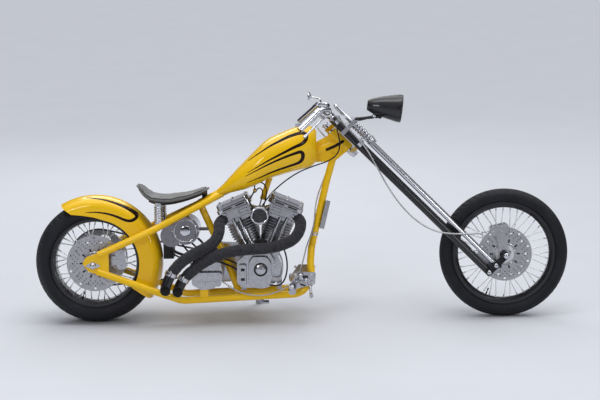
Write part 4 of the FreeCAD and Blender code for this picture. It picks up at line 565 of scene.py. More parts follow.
neck_bar = [
    (1.2506, 0.9186, 0.0163), (1.28, 0.931, 0.016), (1.3063, 0.9422, 0.0157), (1.33, 0.957, 0.016),
    (1.3494, 0.9693, 0.0163),
]
fender_loop = [
    (-0.0416, 0.6828, 0.0016), (-0.0121, 0.6802, 0.0027), (0.0415, 0.6752, 0.0049), (0.0945, 0.6622, 0.0076),
    (0.1479, 0.6416, 0.0103), (0.1921, 0.6185, 0.013), (0.2251, 0.596, 0.0152), (0.234, 0.5798, 0.0174),
    (0.2209, 0.5666, 0.0174), (0.1956, 0.5578, 0.0157), (0.1688, 0.5641, 0.0141), (0.1288, 0.5828, 0.0125),
    (0.085, 0.5979, 0.0103), (0.0406, 0.606, 0.0081), (-0.0039, 0.6098, 0.0054), (-0.0442, 0.6061, 0.0022),
]


def striped(name, line, node, half_y):
    """Bands of varying width along a line. Each point goes straight across the machine to
    the panel; a skin 0.5 mm proud of it closes on a base 0.6 mm inside."""
    tree = tree_of(nodes[node].data)
    start_y = 0.6
    dense = rounded(np.asarray(line, float)[:, [0, 2, 1]], 12)
    dense = evenly(dense, max(24, int(len(dense) * 1.1)))
    x, wide, z = dense.T
    run = np.gradient(np.stack([x, z], -1), axis=0)
    run /= np.linalg.norm(run, axis=1)[:, None]
    from_end = np.minimum(np.arange(len(x)), np.arange(len(x))[::-1])
    wide = wide * np.sqrt(np.clip((from_end + 0.35) / 3.0, 0, 1))
    width_shares = np.array([-0.5, -0.3, -0.1, 0.1, 0.3, 0.5])
    spread = width_shares * wide[:, None]
    flat_x = x[:, None] - run[:, 1:] * spread
    flat_z = z[:, None] + run[:, :1] * spread
    rows = (len(x), len(width_shares), 3)
    parts = []
    for side, _ in sides:
        ray = leaned(-side * across)
        skin, base = [], []
        for px, pz in zip(flat_x.ravel(), flat_z.ravel()):
            spot, normal, _, far = tree.ray_cast(Vector(on_bike((px, side * start_y, pz))), ray)
            if spot is None or far > start_y:
                spot, normal, _, _ = tree.find_nearest(Vector(on_bike((px, side * half_y, pz))))
            if normal.dot(ray) >= 0:
                normal = -normal
            skin.append(off_bike(spot + normal * 0.0005))
            base.append(off_bike(spot - normal * 0.0006))
        loop = np.concatenate([np.reshape(skin, rows), np.reshape(base, rows)[:, ::-1]], axis=1)
        parts.append((loop, tube_faces(*loop.shape[:2])))
    fitting(name, parts, stripe, "chassis")


striped("tank_stripe_upper", tank_upper_loop, "fuel_tank", 0.118)
striped("tank_stripe_lower", tank_lower_loop, "fuel_tank", 0.128)
striped("neck_stripe", neck_bar, "frame_spine", 0.02)
striped("fender_stripe", fender_loop, "rear_fender", 0.106)

# Wrapped exhausts: pipe routes, and the wrap's section as (distance along, radius)

rear_pipe = [
    (0.7251, -0.0394, 0.5635), (0.6715, -0.0754, 0.544), (0.676, -0.1312, 0.504), (0.6635, -0.1607, 0.4631),
    (0.6233, -0.1771, 0.4269), (0.534, -0.1952, 0.3851), (0.4697, -0.2083, 0.3439), (0.4224, -0.2198, 0.29),
    (0.3911, -0.228, 0.2279), (0.3822, -0.2312, 0.1641),
]
front_pipe = [
    (1.0645, -0.0394, 0.5681), (1.1118, -0.0656, 0.5481), (1.11, -0.1148, 0.504), (1.0779, -0.1509, 0.455),
    (1.0136, -0.1689, 0.426), (0.9341, -0.1788, 0.4109), (0.7751, -0.1837, 0.404), (0.6715, -0.1837, 0.3819),
    (0.5724, -0.1837, 0.3309), (0.4867, -0.187, 0.259), (0.4536, -0.1902, 0.203), (0.4411, -0.1902, 0.1508),
]
wrap_section = [
    (0.0, 0.0303), (0.003, 0.0308), (0.018, 0.0306), (0.031, 0.0298), (0.0385, 0.0291), (0.039, 0.0284),
    (0.02, 0.02845), (0.0, 0.0290),
]
wrap_pitch = 0.0345
wrap_start = 0.012
wrap_stop = 0.039
screw_profile = [(0.0045, -0.011), (0.0052, -0.01), (0.0052, 0.01), (0.0045, 0.011)]
screw_place = np.array([0, -0.0345, 0.012])
for name, route in (("rear", rear_pipe), ("front", front_pipe)):
    frames = followed(evenly(arced(route), 240))
    bend_before, bend_after = np.array(route[-3]), np.array(route[-2])
    clamp = bend_before + (bend_after - bend_before) * 0.12
    way = (bend_after - bend_before) / np.linalg.norm(bend_after - bend_before)
    tail = float(frames[0][np.argmin(np.linalg.norm(frames[1] - clamp, axis=1))])
    wound = spiral(frames, wrap_start, tail - wrap_stop, wrap_pitch, wrap_section, 36)
    fitting("exhaust_wrap_" + name, [wound], wrap, "chassis")
    middles = off_bike(faces_of(nodes["exhaust_" + name].data, "center"))
    apart = np.linalg.norm(middles[:, None, :] - frames[1][None], axis=2)
    far = frames[0][apart.argmin(1)]
    is_tip = far > tail + 0.008
    # The bore at the open tip is painted near-black, as shade
    is_shaded_bore = (apart.min(1) < 0.0262) & (far > tail)
    along = (middles - clamp) @ way
    out = np.linalg.norm(middles - clamp - along[:, None] * way, axis=1)
    is_band = (np.abs(along) < 0.0125) & (out > 0.0285)
    paint("exhaust_" + name, wrap, (gloss_black, is_tip), (seam_and_shade, is_shaded_bore), (chrome, is_band))
    rims = [ringed(clamp + way * place, way, 0.0331, 0.0012) for place in (-0.0095, 0.0095)]
    screw = turned(screw_profile, clamp + screw_place, way, 16)
    fitting("exhaust_clamp_" + name, rims + [screw], chrome, "chassis")

# Tyres with tread


def arc_between(first, middle, last, count):
    """Points on the circle through three points of (radius, side place)."""
    a, b, c = (np.asarray(point, float) for point in (first, middle, last))
    d = 2 * (a[0] * (b[1] - c[1]) + b[0] * (c[1] - a[1]) + c[0] * (a[1] - b[1]))
    squares = [point @ point for point in (a, b, c)]
    centre = np.array([
        squares[0] * (b[1] - c[1]) + squares[1] * (c[1] - a[1]) + squares[2] * (a[1] - b[1]),
        squares[0] * (c[0] - b[0]) + squares[1] * (a[0] - c[0]) + squares[2] * (b[0] - a[0]),
    ]) / d
    low, between, high = [math.atan2(*(point - centre)[::-1]) for point in (a, b, c)]
    if not min(low, high) <= between <= max(low, high):
        if low < high:
            low += 2 * math.pi
        else:
            high += 2 * math.pi
    turn = np.linspace(low, high, count)
    radius = np.linalg.norm(a - centre)
    return centre + radius * np.stack([np.cos(turn), np.sin(turn)], -1)


def treaded(name, node, body, hub, outer, wide, bead, rim_wide, crown, blocks, depth):
    """Tyre surface: its section carried round the axle, cut by grooves. Depth is a smooth mask
    of slanted grooves that repeat blocks times round, and rings in the sidewall stand 0.6 mm."""
    bead_y = rim_wide / 2 - 0.004
    shoulder_y = wide / 2 * 0.88
    shoulder_r = outer - crown + math.sqrt(crown ** 2 - shoulder_y ** 2)
    lip = bead + 0.011
    bulge = (lip + shoulder_r) / 2
    wall = arc_between((lip, -bead_y), (bulge, -wide / 2), (shoulder_r, -shoulder_y), 16)
    tread = arc_between((shoulder_r, -shoulder_y), (outer, 0), (shoulder_r, shoulder_y), 61)
    hollow = [(bead, bead_y), (bead, bead_y - 0.02), (bead + 0.03, 0.0), (bead, -bead_y + 0.02)]
    section = np.concatenate([[(bead, -bead_y)], wall[:-1], tread, (wall[::-1] * (1, -1))[1:], hollow])
    steps = 720
    turn = np.linspace(0, 2 * math.pi, steps, endpoint=False)
    radius = np.repeat(section[None, :, 0], steps, axis=0)
    side = np.repeat(section[None, :, 1], steps, axis=0)
    share = np.abs(tread[:, 1] / shoulder_y)[None]
    phase = turn[:, None] * blocks / (2 * math.pi) + 0.55 * share ** 1.4
    slant = np.clip(1.6 - np.abs((phase + 0.5) % 1 - 0.5) / 0.09, 0, 1) * (share > 0.22) * (share < 0.93)
    ring = np.clip(1.7 - np.abs(share - 0.2) * shoulder_y / 0.0022, 0, 1)
    start, end = len(wall), len(wall) + len(tread)
    radius[:, start:end] -= np.maximum(slant, ring) * depth * np.clip((1 - share) * 8, 0, 1)
    for level_share in (0.25, 0.32, 0.8):
        place = int(level_share * len(wall))
        out = np.sign(side[:, place]) * 0.0006
        side[:, place] += out
        side[:, end + len(wall) - 2 - place] -= out
    direction = np.stack([np.cos(turn), turn * 0, np.sin(turn)], -1)
    grid = hub + radius[..., None] * direction[:, None, :] + side[..., None] * across
    made = piece(name, grid, grid_faces(steps, len(section), True, True), rubber.material, body)
    faced_out(made)
    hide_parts(node)


treaded("rear_tyre_tread", "rear_tyre", "rear_wheel", rear_hub, outer=0.3286, wide=0.2, bead=0.2286,
        rim_wide=0.15, crown=0.128, blocks=44, depth=0.004)
treaded("front_tyre_tread", "front_tyre", "front_wheel", front_hub, outer=0.348, wide=0.092, bead=0.2667,
        rim_wide=0.06, crown=0.05, blocks=60, depth=0.0032)

# Wheel fittings

spoke_count = 40
lace_degrees = 62
nipple_profile = [(0.0048, -0.003), (0.0048, 0.002), (0.0036, 0.005), (0.0036, 0.017), (0.003, 0.019)]
valve_profile = [(0.004, 0), (0.004, 0.012), (0.0026, 0.014), (0.0026, 0.024), (0.0042, 0.025),
                 (0.0042, 0.034), (0.003, 0.036)]
axle_nut_profile = [(0.0155, 0), (0.0165, 0.0015), (0.0165, 0.008), (0.013, 0.0135), (0.006, 0.0165),
                    (0.0015, 0.017)]


def nipples(name, body, hub, ring, rim_side, flange_r, flange_y):
    """Spoke nipples: small tapered bushes round the rim, each turned to its hole in the hub's
    flange, which is laced on or back by a fixed angle."""
    index = np.arange(spoke_count)
    side = np.where(index % 2, 1, -1)[:, None] * across
    angle = index * 360 / spoke_count
    lace = np.where((index // 2) % 2, lace_degrees, -lace_degrees)
    rim_spots = round_about(hub, ring, angle) + side * rim_side
    hub_spots = round_about(hub, flange_r, angle + lace) + side * flange_y
    template = turned(nipple_profile, across * 0, up, 8)
    fitting(name, [stamped(template, rim_spots, hub_spots - rim_spots)], chrome, body)


nipples("rear_spoke_nipples", "rear_wheel", rear_hub, 0.2186, 0.007, 0.0528, 0.056)
nipples("front_spoke_nipples", "front_wheel", front_hub, 0.2477, 0.007, 0.0388, 0.038)
wheels = (
    ("rear", "rear_wheel", rear_hub, 0.2182, -0.082),
    ("front", "front_wheel", front_hub, 0.2472, -0.062),
)
for name, body, hub, rim_r, disc_y in wheels:
    foot = round_about(hub, rim_r, 247.5)
    fitting(name + "_valve", [turned(valve_profile, foot, hub - foot, 16)], soft_black, body)
    spots = round_about(hub + across * (disc_y - 0.005), 0.056, np.arange(5) * 72 + 18)
    bolts(name + "_disc_bolts", spots, -across, 0.006, 0.006, steel, body)
spots = round_about(rear_hub + across * 0.13, 0.04, np.arange(5) * 72)
bolts("pulley_bolts", spots, across, 0.007, 0.006, steel, "rear_wheel")
for side, label in sides:
    for name, body, hub, axle_end in (
        ("rear", "chassis", rear_hub, 0.1801), ("front", "front_fork", front_hub, 0.1412),
    ):
        nut = turned(axle_nut_profile, hub + across * side * axle_end, across * side, 40)
        fitting(name + "_axle_nut_" + label, [nut], chrome, body)

# Engine trim

cover_y = -0.127
primary_y = 0.2115
head_y = -0.0938
cleaner_middle = crank + (0.0, -0.1899, 0.298)
cam_middle = crank + across * cover_y
primary_drum = gearbox_centre + across * primary_y
fitting("engine_rings", [
    turned([(0.0375, 0.0), (0.0375, 0.009), (0.039, 0.011), (0.0455, 0.011), (0.0482, 0.008),
            (0.0482, -0.004)], cleaner_middle, -across, 72, closed=True),
    turned([(0.029, 0.0), (0.029, 0.0045), (0.031, 0.006), (0.0345, 0.006), (0.0362, 0.0045),
            (0.0362, 0.0)], cam_middle, -across, 64, closed=True),
], chrome, "chassis")
cam_size = 0.112
cam_outline_shares = [(-1.0, 0.2), (-1.02, -0.3), (-0.98, -0.68), (-0.5, -0.8), (0.3, -0.8), (0.5, -0.35),
                      (0.62, 0.25), (0.28, 0.85), (-0.4, 0.82)]
spots = [crank + (x * cam_size, -0.116, z * cam_size) for x, z in cam_outline_shares]
bolts("cam_cover_bolts", spots, -across, 0.0042, 0.004, chrome, "chassis")
spots = np.concatenate([
    round_about(primary_drum, 0.099, [100, 140, 180, 220, 260]),
    round_about(crank + across * primary_y, 0.084, [80, 40, 0, -40, -80]),
    [(x, primary_y, crank[2] + z) for x in (0.7, 0.8) for z in (-0.092, 0.092)],
])
bolts("primary_bolts", spots, across, 0.0048, 0.0045, chrome, "chassis")
fitting("primary_rings", [
    turned([(0.058, 0), (0.058, 0.005), (0.062, 0.0065), (0.072, 0.0065), (0.075, 0.004), (0.075, 0)],
           primary_drum, across, 72, closed=True),
    turned([(0.05, 0), (0.0495, 0.004), (0.04, 0.0065), (0.012, 0.0085), (0.0015, 0.0088)],
           primary_drum, across, 64),
], chrome, "chassis")


def on_cylinder(sign, high, along=0.0, y=0.0):
    """Place at a height up the rear (-1) or front (1) cylinder from the crank, along and across it."""
    bore = np.array([sign * math.sin(bank), 0, math.cos(bank)])
    square = np.array([math.cos(bank), 0, -sign * math.sin(bank)])
    return crank + bore * high + square * along + across * y


for sign, label in cylinders:
    tops = [on_cylinder(sign, 0.398, x, y) for x in (-0.076, 0, 0.076) for y in (-0.07, 0.07)]
    bore = on_cylinder(sign, 1.0) - crank
    bolts("rocker_bolts_" + label, tops, bore, 0.0052, 0.005, chrome, "chassis")
    seams = []
    for high in (0.3555, 0.376):
        ends = [on_cylinder(sign, high, x, -0.0942) for x in (-0.082, 0.082)]
        seams.append(piped(np.linspace(*ends, 12), 0.0011, 8))
    fitting("rocker_seams_" + label, seams, seam_and_shade, "chassis")

# Oil tank trim

drum_spot = np.array([0.4908, -0.0862, 0.4983])
fitting("oil_tank_rings", [
    ringed(drum_spot, -across, 0.0605, 0.0042, 72),
    turned([(0.03, -0.001), (0.03, 0.003), (0.026, 0.0048), (0.008, 0.0058), (0.0015, 0.006)], drum_spot,
           -across),
    ringed(drum_spot * (1, -1, 1), across, 0.0605, 0.0042, 72),
], chrome, "chassis")
bolts("oil_tank_bolts", round_about(drum_spot, 0.0685, np.arange(6) * 60), -across, 0.0035, 0.003, chrome,
      "chassis")

# Fork: wound springs in cups with their covers, pinch bolts, nuts and rocker pins

spring_low, spring_high, spring_forward, spring_side = 0.9438, 1.0752, 0.114, 0.062
rear_leg_forward, front_leg_forward, leg_side = 0.054, 0.106, 0.095
cover_profile = [(0.0105, 0), (0.0125, 0.001), (0.0125, 0.009), (0.0108, 0.011), (0.0108, 0.108),
                 (0.0098, 0.115), (0.0065, 0.1192), (0.0015, 0.1202)]
pin_profile = [(0.0125, 0), (0.0125, 0.006), (0.009, 0.0095), (0.0015, 0.0105)]
springs, cups, covers, pins, leg_caps = [], [], [], [], []
for side, _ in sides:
    foot = np.array([spring_forward, side * spring_side, 0.0])
    springs.append(coiled(foot, up, spring_low, spring_high, 0.0188, 0.0042, 8.5))
    cups.append(turned([(0.009, 0), (0.0245, 0), (0.0245, 0.006), (0.0145, 0.009), (0.009, 0.009)],
                       foot + up * spring_low, up, 32, closed=True))
    cups.append(turned([(0.009, 0), (0.0235, 0), (0.0235, -0.006), (0.0145, -0.009), (0.009, -0.009)],
                       foot + up * 1.0748, up, 32, closed=True))
    covers.append(turned(cover_profile, foot + up * 1.0972, up, 28))
    leg_caps.append(turned([(0.0206, 0), (0.0212, 0.002), (0.0206, 0.006), (0.013, 0.0095), (0.0015, 0.0105)],
                           (rear_leg_forward, side * leg_side, 1.18), up, 32))
    for forward in (rear_leg_forward, front_leg_forward):
        pins.append(turned(pin_profile, (forward, side * 0.1298, 0), across * side, 24))
made = fitting("fork_spring_set", springs + cups + covers, chrome, "front_fork", place=forked)
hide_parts("fork_springs")
spots = [(0.0835, side * leg_side, level) for side, _ in sides for level in (0.978, 1.15)]
bolts("yoke_pinch_bolts", spots, (1, 0, 0), 0.0055, 0.006, chrome, "front_fork", forked)
top_nut = turned([(0.019, 0), (0.019, 0.009), (0.016, 0.012), (0.006, 0.0135), (0.0015, 0.0137)],
                 up * 1.172, up, 6)
fitting("fork_top_nuts", [top_nut] + leg_caps, chrome, "front_fork", place=forked)
fitting("rocker_pins", pins, chrome, "front_fork", place=forked)

# Lamp: bezel, bowl and bulb

lamp_front = np.array([1.661, 0.0, 1.135])
lamp_tilt = math.radians(7.1)
lamp_back = np.array([-math.cos(lamp_tilt), 0.0, math.sin(lamp_tilt)])
bezel_profile = [(0.0712, 0.002), (0.0712, -0.0012), (0.0728, -0.0024), (0.0748, -0.0016), (0.0756, 0.002),
                 (0.0754, 0.007), (0.074, 0.007)]
bulb_profile = [(0.009, 0.079), (0.009, 0.06), (0.0065, 0.052), (0.0068, 0.036), (0.0035, 0.031),
                (0.0012, 0.03)]
bezel = turned(bezel_profile, lamp_front, lamp_back, 96, closed=True)
fitting("lamp_bezel", [bezel], gloss_black, "front_fork")
depth = np.linspace(0, 1, 16)
bowl_out = np.stack([0.0695 * np.sqrt(1 - depth * 0.985), 0.009 + 0.075 * depth], -1)
bowl_in = np.stack([0.0682 * np.sqrt(1 - depth * 0.985), 0.009 + 0.0735 * depth], -1)[::-1]
bowl = turned(np.concatenate([bowl_out, bowl_in]), lamp_front, lamp_back, 72, closed=True)
fitting("lamp_reflector", [bowl], reflector, "front_fork")
fitting("lamp_bulb", [turned(bulb_profile, lamp_front, lamp_back, 28)], lens, "front_fork")

# Saddle: blown up over its pad, then piped and stitched


def settled(made):
    """Applies an object's modifiers to its mesh."""
    shown = made.evaluated_get(bpy.context.evaluated_depsgraph_get())
    mesh = bpy.data.meshes.new_from_object(shown)
    made.modifiers.clear()
    made.data = mesh


def swollen(name, node, reach, material):
    """Padded form: an even skin over the CAD pad, shrunk 2 mm, blown up as cloth under
    pressure and held within reach of where it began. Its underside stays on the pan."""
    made = bpy.data.objects.new(name, nodes[node].data.copy())
    scene.collection.objects.link(made)
    work = bmesh.new()
    work.from_mesh(made.data)
    bmesh.ops.remove_doubles(work, verts=work.verts, dist=0.00002)
    bmesh.ops.recalc_face_normals(work, faces=work.faces)
    work.normal_update()
    for vertex in work.verts:
        vertex.co -= vertex.normal * 0.002
    work.to_mesh(made.data)
    work.free()
    remesh = made.modifiers.new("even_skin", "REMESH")
    remesh.mode = "VOXEL"
    remesh.voxel_size = 0.0045
    settled(made)
    first = places_of(made.data)
    normals = np.array([vertex.normal for vertex in made.data.vertices])
    cloth = made.modifiers.new("air", "CLOTH")
    cloth.settings.quality = 6
    cloth.settings.use_pressure = True
    cloth.settings.uniform_pressure_force = 4
    cloth.settings.effector_weights.gravity = 0
    cloth.point_cache.frame_start = 1
    cloth.point_cache.frame_end = 20
    for step in range(1, 21):
        scene.frame_set(step)
    settled(made)
    scene.frame_set(1)
    moved = places_of(made.data) - first
    far = np.linalg.norm(moved, axis=1)
    moved *= (np.minimum(far, reach) / np.maximum(far, 1e-9))[:, None]
    moved *= np.clip(normals @ np.array(leaned(up)) * 2 + 1.2, 0, 1)[:, None]
    made.data.vertices.foreach_set("co", (first + moved).ravel())
    made.data.update()
    made.data.materials.clear()
    made.data.materials.append(material)
    made.data.polygons.foreach_set("use_smooth", [True] * len(made.data.polygons))
    return made


saddle = swollen("saddle", "seat_pad", 0.006, leather.material)
skin = tree_of(saddle.data)
upright = off_bike(places_of(saddle.data))
end_gap = 0.004
stations = np.linspace(upright[:, 0].min() + end_gap, upright[:, 0].max() - end_gap, 40)
widths = np.array([
    np.abs(upright[np.abs(upright[:, 0] - station) < 0.006, 1]).max() for station in stations
])
widths = np.convolve(np.pad(widths, 2, mode="edge"), np.ones(5) / 5, mode="valid")
outline = np.concatenate([np.stack([stations, widths], -1), np.stack([stations, -widths], -1)[::-1]])
outline = evenly(np.concatenate([outline, outline[:1]]), 241)[:-1]
run = np.roll(outline, -3, axis=0) - np.roll(outline, 3, axis=0)
inward = np.stack([run[:, 1], -run[:, 0]], -1)
inward /= np.linalg.norm(inward, axis=1)[:, None]
inward *= np.sign(((np.array([stations.mean(), 0.0]) - outline) * inward).sum(1).mean())


def laid(inset, proud):
    """The saddle's plan outline moved inward, and the same line dropped onto its top."""
    flat = outline + inward * inset
    for _ in range(6):
        flat = (np.roll(flat, 1, axis=0) + flat * 2 + np.roll(flat, -1, axis=0)) / 4
    line = []
    for x, y in flat:
        spot, normal, _, _ = skin.ray_cast(Vector(on_bike((x, y, 1.0))), leaned(-up))
        if spot is not None:
            line.append(off_bike(spot + normal * proud))
    return flat, np.array(line)


inner, seam = laid(0.019, 0.0004)
fitting("saddle_piping", [piped(np.concatenate([seam, seam[:2]]), 0.0021, 10)], leather, "chassis")
stitch = turned([(0.0003, -0.0019), (0.0006, -0.0015), (0.0006, 0.0015), (0.0003, 0.0019)], across * 0, up, 6)
for inset, label in ((0.0235, "inner"), (0.0145, "outer")):
    row = laid(inset, 0.0003)[1]
    row = evenly(np.concatenate([row, row[:1]]), 161)
    stitches = stamped(stitch, (row[1:] + row[:-1]) / 2, np.diff(row, axis=0))
    fitting("saddle_stitches_" + label, [stitches], thread, "chassis")

# Painted sheen on the top panel of the saddle: upward faces inside the piping, found by counting the edges to
# their right, take the lighter grey leather
saddle.data.materials.append(saddle_painted_sheen.material)
x, y = off_bike(faces_of(saddle.data, "center"))[:, :2, None].transpose(1, 0, 2)
edge_x, edge_y = np.concatenate([inner, inner[:1]]).T
crossed = (edge_y[:-1] > y) != (edge_y[1:] > y)
cut_x = edge_x[:-1] + (y - edge_y[:-1]) * np.diff(edge_x) / np.where(crossed, np.diff(edge_y), 1)
within = (crossed & (x < cut_x)).sum(1) % 2 == 1
upward = faces_of(saddle.data, "normal") @ np.array(leaned(up)) > 0.05
saddle.data.polygons.foreach_set("material_index", (within & upward).astype(int))
finer = saddle.modifiers.new("finer", "SUBSURF")
finer.levels = 1
finer.render_levels = 1
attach(saddle, "chassis")
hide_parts("seat_pad")

# Cables and hose, whole, on their routes in millimetres of the upright machine

mm = 0.001


def flowing(places, name):
    """Points of a smooth line of order 3 over the route, in the shared frame."""
    curve = bpy.data.curves.new(name + "_line", "CURVE")
    curve.dimensions = "3D"
    curve.resolution_u = 14
    spline = curve.splines.new("NURBS")
    spline.points.add(len(places) - 1)
    for point, place in zip(spline.points, on_bike(np.array(places) * mm)):
        point.co = (*place, 1.0)
    spline.order_u = 3
    spline.use_endpoint_u = True
    holder = bpy.data.objects.new(name + "_line", curve)
    scene.collection.objects.link(holder)
    bpy.context.view_layer.update()
    shown = holder.evaluated_get(bpy.context.evaluated_depsgraph_get())
    line = places_of(bpy.data.meshes.new_from_object(shown))
    bpy.data.objects.remove(holder)
    return line


def cable(name, node, places, radius, finish, ferrules, body=None, blend=None):
    """Round cable with a metal ferrule near each end. ferrules holds (index on the line, way)."""
    line = flowing(places, name)
    profile = [(radius * 0.9, 0.0), (radius * 1.7, 0.001), (radius * 1.7, 0.014), (radius * 1.35, 0.016),
               (radius * 1.35, 0.03), (radius * 1.05, 0.033)]
    parts = [piped(line, radius, 12)]
    for index, step in ferrules:
        parts.append(turned(profile, line[index], line[index + step] - line[index], 16))
    points, faces = together(parts)
    made = piece(name, points, faces, finish.material, body, place=np.asarray)
    made.data.materials.append(chrome.material)
    slots = np.ones(len(faces), int)
    slots[:len(parts[0][1])] = 0
    made.data.polygons.foreach_set("material_index", slots)
    if blend:
        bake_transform(made)
    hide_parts(node)


brake_hose_route = [
    (1232, -300, 1106), (1262, -282, 1117), (1292, -245, 1120), (1318, -200, 1104), (1352, -165, 1063),
    (1390, -144, 1022), (1431, -134, 978), (1475, -131, 920), (1527, -130, 822), (1587, -130, 710),
    (1662, -130, 606), (1745, -130, 528), (1830, -130, 483), (1910, -128, 470), (1990, -120, 466),
    (2052, -104, 465), (2098, -88, 469), (2140, -80, 478),
]
throttle_route = [
    (1212, -288, 1122), (1250, -262, 1112), (1290, -215, 1090), (1308, -158, 1058), (1316, -97, 1012),
    (1330, -58, 955), (1316, -46, 898), (1268, -46, 862), (1190, -46, 838), (1110, -44, 808),
    (1040, -42, 765), (975, -42, 712), (930, -46, 662), (905, -50, 625),
]
clutch_route = [
    (668, -122, 238), (705, -128, 214), (750, -134, 184), (805, -138, 160), (865, -140, 150),
    (925, -140, 153), (985, -138, 170), (1040, -128, 196), (1084, -110, 240), (1112, -90, 295),
    (1128, -64, 350), (1142, -40, 405), (1168, -30, 465), (1184, -28, 530), (1190, -12, 600),
    (1203, 14, 668), (1236, 31, 748), (1264, 36, 825), (1290, 42, 888), (1290, 46, 940),
    (1250, 47, 985), (1212, 54, 1028), (1196, 88, 1066), (1200, 145, 1084), (1205, 202, 1094),
    (1212, 252, 1100), (1226, 288, 1104),
]
cable("brake_hose", "front_brake_hose", brake_hose_route, 0.004, braid, ((12, 1), (-12, -1)), "front_fork")
cable("throttle_line", "throttle_cable", throttle_route, 0.0035, soft_black, ((16, 1), (-14, -1)),
      blend=((1.316, -0.046, 0.898), (1.308, -0.158, 1.058)))
cable("clutch_line", "clutch_cable", clutch_route, 0.0035, braid, ((12, 1), (-14, -1)),
      blend=((1.29, 0.042, 0.888), (1.2, 0.1, 1.07)))

# Raised panels, slots painted near-black as shade, and ribs of the engine and gearbox


def head_panel(sign, high, along, half_x, half_z, reach, y, rise, edge):
    """Raised plate on the right side of a head, square to its cylinder."""
    middle = on_cylinder(sign, high, along)[[0, 2]]
    return panel(oblong(middle, half_x, half_z, reach, -sign * bank), y, rise, edge)


cam_plate = [(0.84, 0.2), (0.926, 0.2), (0.951, 0.252), (0.951, 0.33), (0.925, 0.362), (0.85, 0.362),
             (0.828, 0.33), (0.828, 0.23)]
fitting("cam_panels", [
    panel(corners(cam_plate, 0.012), cover_y, 0.007, 0.004),
    panel(oblong((0.797, 0.262), 0.019, 0.058, 0.009), cover_y, 0.009, 0.004),
    turned([(0.0015, 0.0135), (0.02, 0.0125), (0.0262, 0.0105), (0.0285, 0.0075), (0.0285, 0.0)],
           cam_middle, -across),
], polished, "chassis", smooth=False)
# Near-black facings in the groove round the cam cover, the cover's slots and the head slots: painted shade
slots = [turned([(0.0288, 0.0073), (0.037, 0.0073), (0.037, 0.0078), (0.0288, 0.0078)], cam_middle, -across,
                closed=True)]
for z in (0.238, 0.29):
    slots.append(panel(oblong((0.797, z), 0.0105, 0.0075, 0.003), cover_y - 0.0085, 0.0012, 0.0005))
for sign, spots in ((-1, (-0.038, 0.036)), (1, (-0.036, 0.038))):
    for spot in spots:
        slots.append(head_panel(sign, 0.3655, spot, 0.026, 0.0042, 0.003, head_y, 0.0009, 0.0004))
fitting("slot_shade", slots, seam_and_shade, "chassis", smooth=False)
ribs = []
for step in range(9):
    middle = (0.553 + step * 0.0142, 0.212 + 0.0006 * step)
    ribs.append(panel(oblong(middle, 0.0022, 0.016, 0.0015), -0.1335, 0.006, 0.0015))
for sign, _ in cylinders:
    ribs.append(head_panel(sign, 0.386, 0, 0.078, 0.0045, 0.004, -0.0935, 0.004, 0.002))
    ribs.append(head_panel(sign, 0.345, 0, 0.07, 0.0035, 0.003, -0.0935, 0.0035, 0.002))
fitting("cover_ribs", ribs, polished, "chassis", smooth=False)

# Oil lines, fuel hoses and tap: radius, finish and route in millimetres

for name, radius, finish, route in (
    ("oil_line_low", 0.0042, braid, [
        (955, -118, 235), (985, -122, 228), (1005, -112, 252), (1012, -92, 300), (1006, -70, 345),
        (990, -58, 372)]),
    ("oil_line_high", 0.0042, soft_black, [
        (940, -122, 205), (975, -128, 198), (1012, -118, 212), (1034, -96, 262), (1036, -74, 330),
        (1020, -58, 392), (1000, -50, 420)]),
    ("oil_feed", 0.0048, soft_black, [
        (520, -60, 432), (560, -72, 392), (615, -84, 362), (682, -88, 350), (742, -86, 332),
        (788, -84, 300)]),
    ("oil_return", 0.0048, soft_black, [
        (470, -66, 428), (498, -84, 384), (560, -96, 352), (630, -98, 336), (706, -96, 322),
        (772, -90, 282)]),
    ("tank_hose_rear", 0.0075, soft_black, [
        (408, -52, 452), (404, -66, 424), (416, -78, 396), (452, -84, 376), (500, -84, 362),
        (545, -70, 352), (575, -58, 340)]),
    ("tank_hose_front", 0.0065, soft_black, [
        (556, -50, 452), (574, -66, 440), (590, -78, 418), (586, -84, 390), (566, -82, 368),
        (556, -66, 352), (560, -50, 338)]),
    ("battery_lead", 0.0045, soft_black, [
        (396, -48, 392), (412, -66, 378), (446, -76, 358), (498, -78, 340), (552, -70, 330),
        (600, -56, 322)]),
    ("fuel_line", 0.0042, soft_black, [
        (862, -34, 700), (852, -46, 684), (842, -56, 668), (838, -58, 650), (842, -54, 632),
        (852, -46, 618), (862, -40, 606)]),
    ("vent_loop", 0.0034, soft_black, [
        (868, -33, 708), (862, -44, 728), (874, -46, 748), (900, -46, 753), (923, -44, 738),
        (930, -40, 706), (926, -28, 664), (916, -8, 632), (910, 2, 612)]),
    ("vent_loop_small", 0.0034, soft_black, [
        (872, -33, 702), (880, -42, 718), (896, -44, 722), (908, -42, 708), (906, -36, 680),
        (898, -24, 648), (892, -8, 628), (888, 0, 610)]),
):
    fitting(name, [piped(flowing(route, name), radius, 12)], finish, "chassis", place=np.asarray)
fitting("tap_body", [
    turned([(0.0015, -0.011), (0.008, -0.011), (0.0105, -0.008), (0.0105, 0.006), (0.0078, 0.009),
            (0.0078, 0.016), (0.0015, 0.0165)], (0.866, -0.03, 0.705), (0, -1, 0.25), 24),
    turned([(0.0015, -0.012), (0.0062, -0.0115), (0.0062, 0.0115), (0.0015, 0.012)], (0.866, -0.034, 0.706),
           (0.25, 0, 1), 6),
], brass, "chassis")

# Bands and a small box on the downtube

down_frame = tree_of(nodes["frame_spine"].data)


